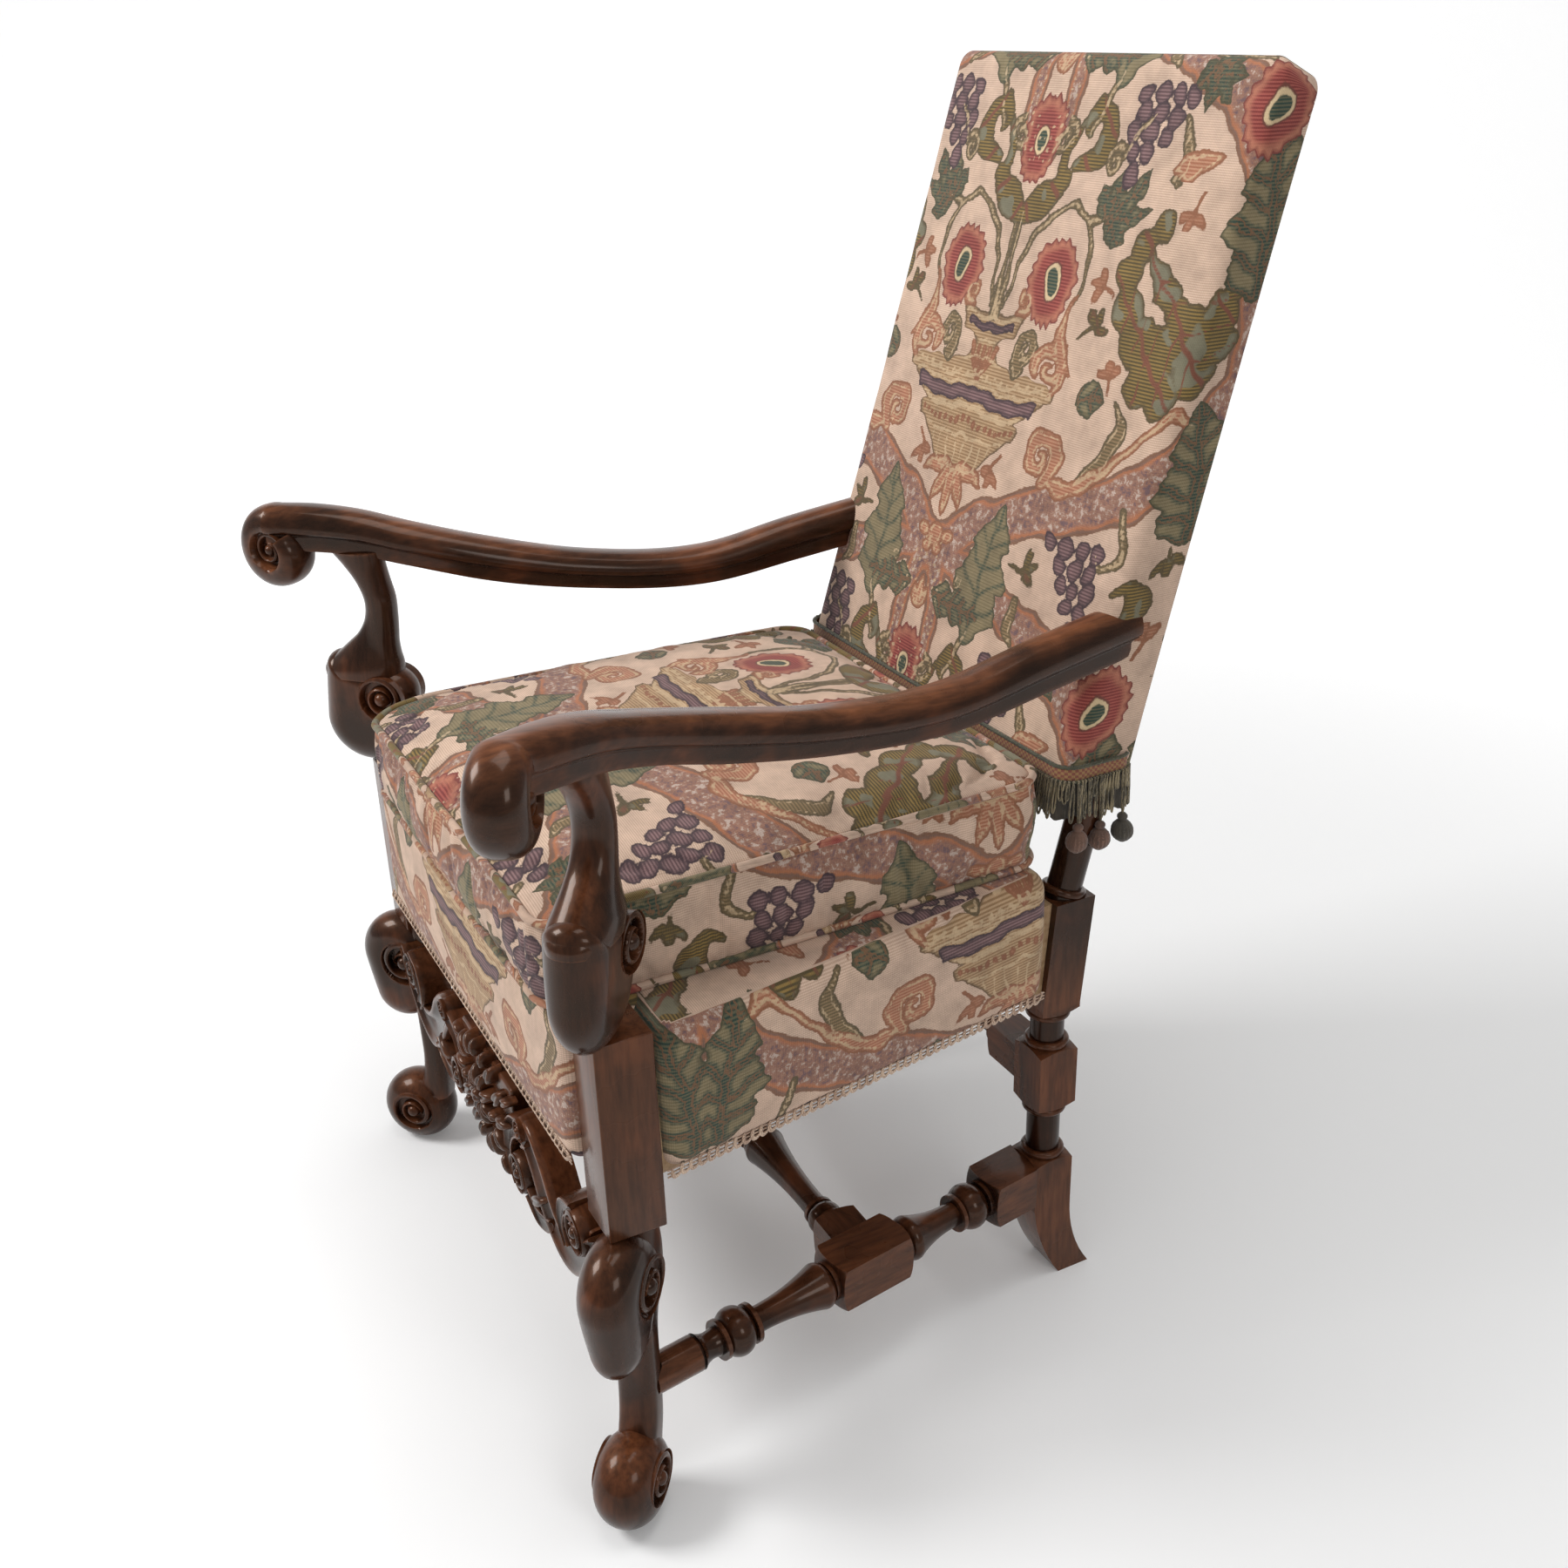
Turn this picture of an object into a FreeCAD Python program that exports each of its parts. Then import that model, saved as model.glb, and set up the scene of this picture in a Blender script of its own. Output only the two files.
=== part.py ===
import FreeCAD, Part
import math
import os
import Sketcher

V = FreeCAD.Vector
os.makedirs("parts", exist_ok=True)
doc = FreeCAD.newDocument("ScrollArmchair")

# Driving sizes in millimetres. Heights are above the floor, setbacks are behind the front face
# of the front legs, reaches are outward from a leg's axis along its diagonal.
SIZES = {
    "front_width": 617, "rear_width": 483, "rear_leg_setback": 457, "origin_setback": 305,
    "front_block": 48.6, "block_bottom": 288, "block_top": 470,
    "post_side": 42, "fit_clearance": 0.25, "soft_clearance": 0.4, "overrun": 40,
    # scroll knee of the front leg: two rolls joined by a tangent skin, and the core behind them
    "knee_reach": 75, "knee_radius": 47, "knee_half": 24.5, "knee_tail_reach": 66,
    "knee_tail_radius": 32, "knee_tail_height": 192, "knee_round": 18,
    "core_back": 32, "core_half": 24, "core_height": 185, "core_round": 7,
    # neck and foot
    "neck_back": 9, "neck_front": 17, "neck_half": 17.5, "neck_height": 112, "neck_round": 6,
    "foot_reach": 77, "foot_radius": 42, "foot_half": 27.5, "foot_round": 22, "foot_flat": 1.5,
    # volute bosses
    "boss_radius": 15, "boss_proud": 5, "eye_radius": 8, "eye_proud": 10,
    "foot_boss_radius": 12, "foot_eye_radius": 6.5, "foot_boss_proud": 3, "foot_eye_proud": 7,
    # arm support
    "bulb_reach": 75, "bulb_radius": 45, "bulb_height": 513, "bulb_half": 25.5, "bulb_round": 18,
    "lip_reach": 63, "lip_radius": 12, "lip_height": 589, "curl_reach": 0, "curl_radius": 21,
    "curl_height": 550, "stem_back": 15, "stem_front": 13, "stem_half": 16.5,
    "stem_waist_height": 642, "stem_foot_height": 590, "stem_head_front": 38,
    "stem_head_back": 8, "stem_round": 5.5, "stem_foot_front": 32, "arm_support_height": 688,
    "support_pin_reach": 20, "support_pin_radius": 8, "support_pin_depth": 30, "head_pin_radius": 8,
    "head_pin_depth": 15, "head_pin_reach": 14,
    # arm: widths and depths of its section, and its path
    "arm_width": 46, "arm_rear_width": 38, "arm_depth": 36, "arm_rear_depth": 44,
    "arm_fillet_depth": 15, "arm_fillet_inset": 4.5, "arm_rear_centre": 214,
    "arm_rear_setback": 532, "arm_low_height": 622, "arm_crest_height": 742,
    "roll_centre": 333, "roll_front": 52, "roll_radius": 43, "roll_width": 42, "roll_round": 15,
    "roll_angle": 57, "roll_boss_radius": 12, "roll_boss_proud": 4, "roll_eye_radius": 6,
    "roll_eye_proud": 7, "arm_tenon_width": 20, "arm_tenon_depth": 22, "arm_tenon_height": 649,
    "arm_tenon_length": 18, "peg_radius": 3.2, "peg_height": 695,
    # rear post: blocks and turnings
    "rear_foot_setback": 489, "rear_foot_depth": 36, "rear_ankle_height": 86,
    "low_block_top": 143, "mid_block_bottom": 200, "mid_block_top": 268,
    "seat_block_bottom": 306, "seat_block_top": 425, "seat_block_lean": 11,
    "turning_radius": 18.5, "bead_height": 7, "bead_rise": 2.6, "shoulder": 5,
    "upper_turning_length": 100, "stile_setback": 4, "stile_foot_depth": 36,
    "stile_top_depth": 27, "stile_width": 28, "stile_top": 1084,
    # turned stretchers
    "stretcher_side": 45, "stretcher_height": 117, "stub_start": 10, "neck_shift": 3,
    "rear_stretcher_height": 236, "cross_setback": 258, "stub_radius": 16.5,
    "stub_length": 45, "groove_depth": 2.5, "groove_width": 3,
    "cove_radius": 13, "cove_length": 18, "ring_radius": 18.5,
    "ring_width": 4, "ball_radius": 22.4, "ball_length": 29, "vase_neck_radius": 12,
    "vase_belly_radius": 21, "vase_length": 70, "vase_toe": 11, "vase_toe_radius": 15,
    "centre_block_length": 81, "short_vase_length": 52, "block_shoulder": 6,
    "block_end_radius": 21, "pin_radius": 9, "pin_length": 14, "rear_pin_length": 20,
    "cross_side": 41, "cross_gap": 14, "peg_tenon": 16, "cross_reach": 236,
    "cross_end_length": 36, "cross_bulb_length": 20, "cross_bulb_radius": 17,
    "cross_vase_length": 106,
    "cross_ball_radius": 20.5, "rear_stretcher_side": 36,
    "rear_end_length": 45, "rear_vase_length": 110, "rear_belly_radius": 17,
    "rear_ball_radius": 17.5, "rear_ring_radius": 14.5,
    "rear_neck_radius": 10,
    # carved front stretcher
    "carving_front": 6, "carving_depth": 30, "carving_bottom": 187, "carving_top": 296,
    "crest_height": 286, "crest_reach": 117, "crest_radius": 14, "end_volute_reach": 238,
    "end_volute_height": 252, "end_volute_radius": 24, "inner_volute_reach": 89,
    "inner_volute_height": 211, "inner_volute_radius": 22, 
    "volute_proud": 3.5, "volute_eye_radius": 8, "volute_eye_proud": 8,
    "dip_reach": 198, "dip_height": 226, "toe_reach": 187, "toe_height": 190,
    "knot_reach": 150, "knot_height": 199, "end_foot_reach": 250, "end_foot_height": 204,
    "end_lug_reach": 290, "end_lug_half": 15, "petal_radius": 10, "petal_ring": 16,
    "petal_proud": 7, "flower_eye_radius": 9, "flower_eye_proud": 11, "flower_height": 244,
    # seat frame
    "rail_bottom": 334, "rail_top": 424, "rail_thickness": 24, "rail_setback": 6,
    "tenon_thickness": 10, "tenon_length": 20, "tenon_shoulder": 12, "block_leg": 56,
    "corner_block_height": 42, "corner_block_drop": 10, "screw_radius": 2.4,
    "screw_length": 46, "screw_head_radius": 4.6, "screw_head_height": 3, "web_thickness": 2,
    "web_width": 52, "web_lap": 13, "web_pitch": 108,
    # stuffed seat and its gimp
    "seat_cover_bottom": 332, "seat_top": 466, "seat_proud": 14, "seat_bulge": 4,
    "seat_edge_round": 16, "corner_seam": 8, "seat_front_half": 257, "gimp_height": 12, "gimp_thickness": 2.6,
    # loose cushion
    "cushion_bottom": 466.3, "cushion_edge": 86, "cushion_crown": 22, "cushion_front": 12,
    "cushion_back_setback": 458, "cushion_front_half": 245, "cushion_rear_half": 231,
    "cushion_corner": 30, "cushion_draw": 7, "cushion_bow": 4, "ticking": 2,
    # back
    "back_bottom": 540, "back_front": 476, "back_top": 1120, "back_top_front": 659,
    "back_top_rear": 697, "back_top_drop": 19, "back_half_width": 232, "back_crown": 8, "foot_crown": 2,
    "back_corner": 12, "back_rail_height": 60, "back_tenon_length": 15, "outside_cloth": 2,
    "braid_height": 15, "braid_thickness": 4, "fringe_bottom": 499,
    "fringe_top": 548, "fringe_thickness": 5, "tassel_radius": 6, "tassel_neck_radius": 2.4,
    "tassel_ball": 4.6, "tassel_length": 27, "tassel_pitch": 46,
}


class Size:
    """A length that carries its value and its formula in the sheet."""

    def __init__(self, value, text):
        self.value = value
        self.text = text

    def __float__(self):
        return float(self.value)

    def __neg__(self):
        return Size(-self.value, f"(-{self.text})")

    def __add__(self, other):
        other = as_size(other)
        return Size(self.value + other.value, f"({self.text} + {other.text})")

    def __sub__(self, other):
        other = as_size(other)
        return Size(self.value - other.value, f"({self.text} - {other.text})")

    def __mul__(self, other):
        other = as_size(other)
        return Size(self.value * other.value, f"({self.text} * {other.text})")

    def __truediv__(self, other):
        other = as_size(other)
        return Size(self.value / other.value, f"({self.text} / {other.text})")

    def root(self):
        return Size(math.sqrt(self.value), f"sqrt({self.text})")

    def __rsub__(self, other):
        return as_size(other) - self

    __radd__ = __add__
    __rmul__ = __mul__


def as_size(number):
    return number if isinstance(number, Size) else Size(float(number), f"{number}")


sheet = doc.addObject("Spreadsheet::Sheet", "Sizes")
for row, (alias, value) in enumerate(SIZES.items(), start=1):
    sheet.set(f"A{row}", alias)
    sheet.set(f"B{row}", str(value))
    sheet.setAlias(f"B{row}", alias)
doc.recompute()


class Sizes:
    """Reads each size back from the sheet."""

    def __getattr__(self, alias):
        return Size(float(sheet.get(alias)), f"Sizes.{alias}")


k = Sizes()
nodes = []


def number(size):
    return float(size)


def keep(obj, label):
    obj.Label = label
    nodes.append(obj)
    return obj


def feature(label, shape):
    """A node whose shape is worked out here from the sheet, moved from chair to part frame."""
    obj = doc.addObject("Part::Feature", label)
    obj.Shape = shape
    obj.Placement = FreeCAD.Placement(V(0, -number(k.origin_setback), 0), FreeCAD.Rotation())
    return keep(obj, label)


def bind(obj, **formulas):
    for prop, size in formulas.items():
        obj.setExpression(prop.replace("_", "."), as_size(size).text)


def place(obj, x, y, z):
    """Binds a primitive's place, given in the chair frame."""
    bind(obj, Placement_Base_x=x, Placement_Base_y=as_size(y) - k.origin_setback, Placement_Base_z=z)
    return obj


def box(name, x, y, z, length, width, height):
    obj = doc.addObject("Part::Box", name)
    bind(obj, Length=length, Width=width, Height=height)
    return place(obj, x, y, z)


def fuse(name, parts):
    obj = doc.addObject("Part::MultiFuse", name)
    obj.Shapes = parts
    obj.Refine = True
    return obj


def cut(name, base, tool):
    obj = doc.addObject("Part::Cut", name)
    obj.Base = base
    obj.Tool = tool
    return obj


def mirrored(label, source):
    obj = doc.addObject("Part::Mirroring", label)
    obj.Source = source
    obj.Normal = (1, 0, 0)
    obj.Base = (0, 0, 0)
    return keep(obj, label)


def feature_stock(name, shape):
    """A shape as it stands before its joints are cut, for its neighbours to be fitted to."""
    obj = doc.addObject("Part::Feature", name)
    obj.Shape = shape
    obj.Placement = FreeCAD.Placement(V(0, -number(k.origin_setback), 0), FreeCAD.Rotation())
    return obj


def mirror_stock(name, source):
    obj = doc.addObject("Part::Mirroring", name)
    obj.Source = source
    obj.Normal = (1, 0, 0)
    obj.Base = (0, 0, 0)
    return obj


def mirror_shape(shape):
    return shape.mirror(V(0, 0, 0), V(1, 0, 0))


def arc(p0, p1, rise):
    """An arc from p0 to p1 whose middle stands off the chord by rise, to its left."""
    chord = p1 - p0
    left = V(0, 0, 1).cross(chord).normalize()
    return Part.Arc(p0, (p0 + p1) / 2 + left * rise, p1)


def edge_loop(points):
    """A closed planar wire through points (u, v, rise): rise bends the edge to the next one."""
    edges = []
    for index, (u, v, rise) in enumerate(points):
        after = points[(index + 1) % len(points)]
        p0 = V(number(u), number(v), 0)
        p1 = V(number(after[0]), number(after[1]), 0)
        if abs(number(rise)) > 0:
            edges.append(arc(p0, p1, number(rise)).toShape())
        else:
            edges.append(Part.LineSegment(p0, p1).toShape())
    return Part.Wire(edges)


def slab(points, half):
    """An outline thickened evenly both ways from its plane."""
    face = Part.Face(edge_loop(points))
    face.translate(V(0, 0, -number(half)))
    return face.extrude(V(0, 0, 2 * number(half)))


def rounded(solid, radius, keep_edge):
    """Rounds the edges that keep_edge accepts, by no more than asked."""
    edges = [edge for edge in solid.Edges if keep_edge(edge)]
    return solid.makeFillet(number(radius), edges)


def rim_edges(half):
    """Accepts the outline edges of a slab's two faces."""
    return lambda edge: abs(abs(edge.CenterOfMass.z) - number(half)) < number(half) / 100


def disc(u, v, radius, half):
    return Part.makeCylinder(number(radius), 2 * number(half), V(number(u), number(v), -number(half)))


def belt(circles):
    """The outline of a belt stretched round circles (u, v, radius) listed anticlockwise."""
    circles = [tuple(number(c) for c in circle) for circle in circles]
    spans = []
    for (u0, v0, r0), (u1, v1, r1) in zip(circles, circles[1:] + circles[:1]):
        gap = math.hypot(u1 - u0, v1 - v0)
        turn = math.atan2(v1 - v0, u1 - u0) - math.acos((r0 - r1) / gap)
        out = V(math.cos(turn), math.sin(turn), 0)
        spans.append((V(u0, v0, 0) + out * r0, V(u1, v1, 0) + out * r1, turn))
    edges = []
    for index, (start, end, turn) in enumerate(spans):
        edges.append(Part.LineSegment(start, end).toShape())
        u, v, radius = circles[(index + 1) % len(circles)]
        after = spans[(index + 1) % len(spans)]
        sweep = (after[2] - turn) % (2 * math.pi)
        middle = turn + sweep / 2
        crown = V(u + radius * math.cos(middle), v + radius * math.sin(middle), 0)
        edges.append(Part.Arc(end, crown, after[0]).toShape())
    return Part.Wire(edges)


def belted_slab(circles, half):
    face = Part.Face(belt(circles))
    face.translate(V(0, 0, -number(half)))
    return face.extrude(V(0, 0, 2 * number(half)))


# The scroll of a left leg stands in the upright plane through the leg's outer front corner.
# In that plane u is the reach outward, v the height, and the slab's depth runs across it.
leg_x = k.front_width / 2 - k.front_block / 2
leg_y = k.front_block / 2
outward = FreeCAD.Rotation(V(1, -1, 0), V(0, 0, 1), V(-1, -1, 0), "XYZ")
diagonal = FreeCAD.Placement(V(number(leg_x), number(leg_y), 0), outward)


def placed(solid, placement):
    moved = solid.copy()
    moved.Placement = placement.multiply(moved.Placement)
    return moved


def bosses(u, v, half, radius, proud, eye_radius, eye_proud):
    """The raised turns and eye of a volute, on both cheeks of a scroll."""
    turn = disc(u, v, radius, half + proud)
    eye = disc(u, v, eye_radius, half + eye_proud)
    return [turn, eye]


def union(solids):
    return solids[0].fuse(solids[1:]).removeSplitter()


# Joints between the frame's pieces: each tenon is made once, and its mortise is the same shape
# with the fit's clearance round it.
def block_between(low, high, grow=0):
    low = [number(c) - number(grow) for c in low]
    high = [number(c) + number(grow) for c in high]
    return Part.makeBox(high[0] - low[0], high[1] - low[1], high[2] - low[2], V(*low))


def pin(start, direction, radius, length, grow=0):
    direction = direction.normalize()
    extra = number(grow)
    return Part.makeCylinder(number(radius) + extra, number(length) + extra, start, direction)


# Front legs
def knee_skin():
    roll = (k.knee_reach - k.knee_radius, k.block_bottom - k.knee_radius, k.knee_radius)
    tail = (k.knee_tail_reach - k.knee_tail_radius, k.knee_tail_height, k.knee_tail_radius)
    skin = belted_slab([roll, tail][::-1], k.knee_half)
    skin = rounded(skin, k.knee_round, rim_edges(k.knee_half))
    cheeks = bosses(roll[0], roll[1], k.knee_half, k.boss_radius, k.boss_proud,
                    k.eye_radius, k.eye_proud)
    return [skin] + cheeks


def leg_core():
    top = k.block_bottom + k.overrun
    points = [
        (-k.core_back, top, 0),
        (-k.core_back, k.block_bottom, -k.neck_back / 2),
        (-k.neck_back, k.core_height, 0),
        (k.core_back, k.core_height, 0),
        (k.core_back, top, 0),
    ]
    core = rounded(slab(points, k.core_half), k.core_round, rim_edges(k.core_half))
    ceiling = Part.makeBox(number(k.overrun * 4), number(k.overrun), number(k.core_half * 4),
                           V(-number(k.overrun * 2), number(k.block_bottom), -number(k.core_half * 2)))
    return core.cut(ceiling)


def leg_neck():
    foot_centre = k.foot_radius - k.foot_flat
    points = [
        (-k.neck_back, k.core_height + k.overrun / 2, 0),
        (-k.neck_back, k.neck_height, k.neck_back / 3),
        (k.foot_reach - k.foot_radius * 2, foot_centre, 0),
        (k.neck_back, foot_centre, 0),
        (k.neck_back, foot_centre + k.foot_radius / 2, k.neck_back / 4),
        (k.neck_front, k.neck_height, k.neck_front / 2),
        (k.knee_tail_reach - k.knee_tail_radius, k.core_height - k.knee_round, 0),
        (k.knee_tail_reach - k.knee_tail_radius, k.core_height + k.overrun / 2, 0),
    ]
    return rounded(slab(points, k.neck_half), k.neck_round, rim_edges(k.neck_half))


def leg_foot():
    reach = k.foot_reach - k.foot_radius
    height = k.foot_radius - k.foot_flat
    ball = disc(reach, height, k.foot_radius, k.foot_half)
    ball = rounded(ball, k.foot_round, rim_edges(k.foot_half))
    floor = Part.makeBox(number(k.foot_radius * 4), number(k.overrun), number(k.foot_half * 4),
                         V(-number(k.foot_radius), -number(k.overrun), -number(k.foot_half * 2)))
    cheeks = bosses(reach, height, k.foot_half, k.foot_boss_radius, k.foot_boss_proud,
                    k.foot_eye_radius, k.foot_eye_proud)
    return [ball.cut(floor)] + cheeks


leg_block = block_between((leg_x - k.front_block / 2, 0, k.block_bottom),
                          (leg_x + k.front_block / 2, k.front_block, k.block_top))


# Arm supports
def support_bulb():
    roll = (k.bulb_reach - k.bulb_radius, k.bulb_height, k.bulb_radius)
    lip = (k.lip_reach - k.lip_radius, k.lip_height, k.lip_radius)
    curl = (k.curl_reach, k.curl_height, k.curl_radius)
    bulb = belted_slab([roll, lip, curl], k.bulb_half)
    bulb = rounded(bulb, k.bulb_round, rim_edges(k.bulb_half))
    cheeks = bosses(curl[0], curl[1], k.bulb_half, k.boss_radius, k.boss_proud,
                    k.eye_radius, k.eye_proud)
    return [bulb] + cheeks


def support_stem():
    bow = (k.stem_head_front - k.stem_front) / 3
    foot = k.stem_foot_height - k.curl_radius
    head = k.arm_support_height + k.overrun / 8
    points = [
        (-k.stem_head_back, head, 0),
        (-k.stem_back, k.stem_waist_height, 0),
        (-k.stem_head_back, foot, 0),
        (k.stem_foot_front, foot, 0),
        (k.stem_foot_front, k.stem_foot_height + k.lip_radius, bow),
        (k.stem_front, k.stem_waist_height, bow),
        (k.stem_head_front, head, 0),
    ]
    return rounded(slab(points, k.stem_half), k.stem_round, rim_edges(k.stem_half))


def prism_yz(points, x0, x1):
    """A side outline (setback, height, rise) carried across from x0 to x1."""
    face = Part.Face(edge_loop(points))
    upright = FreeCAD.Rotation(V(0, 1, 0), V(0, 0, 1), V(1, 0, 0), "XYZ")
    face.Placement = FreeCAD.Placement(V(number(x0), 0, 0), upright)
    return face.extrude(V(number(x1) - number(x0), 0, 0))


def prism_xy(points, z0, z1):
    """A plan outline (x, setback) carried up from z0 to z1."""
    face = Part.Face(edge_loop([(x, y, 0) for x, y in points]))
    face.translate(V(0, 0, number(z0)))
    return face.extrude(V(0, 0, number(z1) - number(z0)))


def largest(shape):
    return max(shape.Solids, key=lambda solid: solid.Volume)


# Rear posts
post_outer = k.rear_width / 2
post_inner = post_outer - k.post_side
post_front = k.rear_leg_setback
post_rear = post_front + k.post_side
post_x = post_outer - k.post_side / 2
post_y = post_front + k.post_side / 2
rake = (k.back_top_rear - k.back_top_front + k.back_top_front - post_rear - k.seat_block_lean
        - k.stile_setback - k.outside_cloth) / (k.back_top - k.back_top_drop - k.seat_block_top)


def stile_rear(height):
    """Setback of the stile's rear face at a height above the seat block."""
    return post_rear + k.seat_block_lean + k.stile_setback + rake * (height - k.seat_block_top)


def stile_front(height):
    share = (height - k.back_bottom) / (k.stile_top - k.back_bottom)
    depth = k.stile_foot_depth - (k.stile_foot_depth - k.stile_top_depth) * share
    return stile_rear(height) - depth


def turning(stations, base, axis):
    """Revolves (height, radius, rise) stations about an axis that starts at base."""
    points = [(0, stations[0][0], 0)]
    for height, radius, rise in stations:
        points.append((radius, height, -number(rise)))
    points.append((0, stations[-1][0], 0))
    solid = Part.Face(edge_loop(points)).revolve(V(0, 0, 0), V(0, 1, 0), 360)
    sideways = V(1, 0, 0)
    stand = FreeCAD.Rotation(sideways, axis, sideways.cross(axis), "XYZ")
    solid.Placement = FreeCAD.Placement(base, stand)
    return solid


def waist(low, high):
    """Turned stretch between two blocks, with a bead standing on each end of it."""
    bead = k.bead_height
    corner = k.post_side * 3 / 4
    stem_radius = k.turning_radius - k.groove_depth
    return [
        (low - k.shoulder, corner, 0), (low, k.turning_radius, k.bead_rise),
        (low + bead, k.turning_radius, 0), (low + bead, stem_radius, 0),
        (high - bead, stem_radius, 0), (high - bead, k.turning_radius, k.bead_rise),
        (high, k.turning_radius, 0), (high + k.shoulder, corner, 0),
    ]


def post_solid():
    ankle = k.rear_ankle_height
    foot = prism_yz([
        (k.rear_foot_setback, 0, 0), (k.rear_foot_setback + k.rear_foot_depth, 0, k.post_side / 6),
        (post_rear, ankle, 0), (post_rear, k.low_block_top - k.overrun / 4, 0),
        (post_front, k.low_block_top - k.overrun / 4, 0), (post_front, ankle, -k.post_side / 8),
    ], post_inner, post_outer)
    corner = k.post_side * 3 / 4
    stations = [(k.low_block_top - k.overrun / 2, corner, 0)]
    stations += waist(k.low_block_top, k.mid_block_bottom)
    stations += waist(k.mid_block_top, k.seat_block_bottom)
    stations += [(k.seat_block_bottom + k.overrun / 2, corner, 0)]
    lathe = turning(stations, V(number(post_x), number(post_y), 0), V(0, 0, 1))
    stock = block_between((post_inner, post_front, k.low_block_top - k.overrun / 4),
                          (post_outer, post_rear, k.seat_block_bottom + k.overrun / 4))
    lean = k.seat_block_lean
    top = k.seat_block_top
    low = k.seat_block_bottom + k.overrun / 4
    seat_block = prism_yz([
        (post_front, low, 0), (post_rear, low, 0), (post_rear + lean, top, 0),
        (post_front + lean, top, 0),
    ], post_inner, post_outer)
    axis = V(0, number(rake), 1).normalize()
    base = V(number(post_x), number(post_y + lean), number(top))
    stem_radius = k.turning_radius - k.groove_depth
    bead = k.bead_height
    length = k.upper_turning_length
    upper = turning([
        (-k.shoulder, k.turning_radius, 0), (0, k.turning_radius, k.bead_rise),
        (bead, k.turning_radius, 0), (bead, stem_radius, 0), (length, stem_radius, 0),
    ], base, axis)
    stile_low = top + length * 4 / 5
    stile = prism_yz([
        (stile_front(stile_low), stile_low, 0), (stile_rear(stile_low), stile_low, 0),
        (stile_rear(k.stile_top), k.stile_top, 0), (stile_front(k.stile_top), k.stile_top, 0),
    ], post_inner, post_inner + k.stile_width)
    return union([foot, stock.common(lathe).Solids[0], seat_block, upper, stile])


# Arms: sections square to a path that swings outward to the roll
ARM_SHARES = [
    # how far forward, how far outward, how high, each as a share from rear to roll
    (0.0, 0.0, 0.3), (0.169, 0.067, 0.14), (0.328, 0.134, 0.01), (0.533, 0.252, 0.17),
    (0.70, 0.39, 0.455), (0.815, 0.56, 0.74), (0.886, 0.72, 0.9), (0.95, 0.88, 0.97),
    (1.0, 1.0, 1.0),
]
ARM_TURN_SHARES = [0.05, 0.08, 0.12, 0.18, 0.34, 0.46, 0.52, 0.7, 1.0]
ARM_DEPTH_SHARES = [1.0, 0.8, 0.1, 0.0, 0.5, 0.4, 0.6, 0.8, 0.8]
ARM_WIDTH_SHARES = [0.0, 0.4, 0.9, 1.0, 1.0, 1.0, 1.0, 0.9, 0.8]


def arm_section(x, y, height, turn, width, depth, grow):
    """The arm's moulded section: a narrower fillet below, a rounded top above."""
    grow = number(grow)
    half = width / 2 + grow
    inset = number(k.arm_fillet_inset)
    fillet = number(k.arm_fillet_depth)
    rise = (depth - fillet) / 4
    top = depth + grow
    outline = [
        (-half + inset, -grow, 0), (half - inset, -grow, 0), (half - inset, fillet, 0),
        (half, fillet + inset / 2, -rise), (0, top, -rise), (-half, fillet + inset / 2, 0),
        (-half + inset, fillet, 0),
    ]
    wire = edge_loop(outline)
    sine, cosine = math.sin(turn), math.cos(turn)
    square = FreeCAD.Rotation(V(cosine, sine, 0), V(0, 0, 1), V(sine, -cosine, 0), "XYZ")
    wire.Placement = FreeCAD.Placement(V(x, y, height), square)
    return wire


def arm_loft(grow=0):
    rear = V(number(k.arm_rear_centre), number(k.arm_rear_setback + k.overrun / 2), 0)
    roll = V(number(k.roll_centre), -number(k.roll_front), 0)
    low = number(k.arm_low_height)
    climb = number(k.arm_crest_height - k.roll_radius) - low
    deepest = number(k.arm_rear_depth - k.arm_depth)
    wires = []
    for index, (forward, outward_share, high) in enumerate(ARM_SHARES):
        x = rear.x + (roll.x - rear.x) * outward_share
        y = rear.y + (roll.y - rear.y) * forward
        turn = math.radians(number(k.roll_angle)) * ARM_TURN_SHARES[index]
        width = k.arm_rear_width + (k.arm_width - k.arm_rear_width) * ARM_WIDTH_SHARES[index]
        depth = number(k.arm_depth) + deepest * ARM_DEPTH_SHARES[index]
        wires.append(arm_section(x, y, low + climb * high, turn, number(width), depth, grow))
    return Part.makeLoft(wires, True, False)


def arm_roll():
    roll = disc(0, 0, k.roll_radius, k.roll_width / 2)
    roll = rounded(roll, k.roll_round, rim_edges(k.roll_width / 2))
    cheeks = bosses(0, 0, k.roll_width / 2, k.roll_boss_radius, k.roll_boss_proud,
                    k.roll_eye_radius, k.roll_eye_proud)
    turn = math.radians(number(k.roll_angle))
    forward = V(math.sin(turn), -math.cos(turn), 0)
    plane = FreeCAD.Rotation(forward, V(0, 0, 1), V(-math.cos(turn), -math.sin(turn), 0), "XYZ")
    centre = V(number(k.roll_centre), -number(k.roll_front),
               number(k.arm_crest_height - k.roll_radius))
    spot = FreeCAD.Placement(centre, plane)
    return [placed(piece, spot) for piece in [roll] + cheeks]


# Front stretcher: an upright slab whose u is x and whose w faces the front
upright_front = FreeCAD.Rotation(V(1, 0, 0), V(0, 0, 1), V(0, -1, 0), "XYZ")
carving_mid = k.carving_depth / 2 - k.carving_front
carving_place = FreeCAD.Placement(V(0, number(carving_mid), 0), upright_front)
carving_half = k.carving_depth / 2


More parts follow.
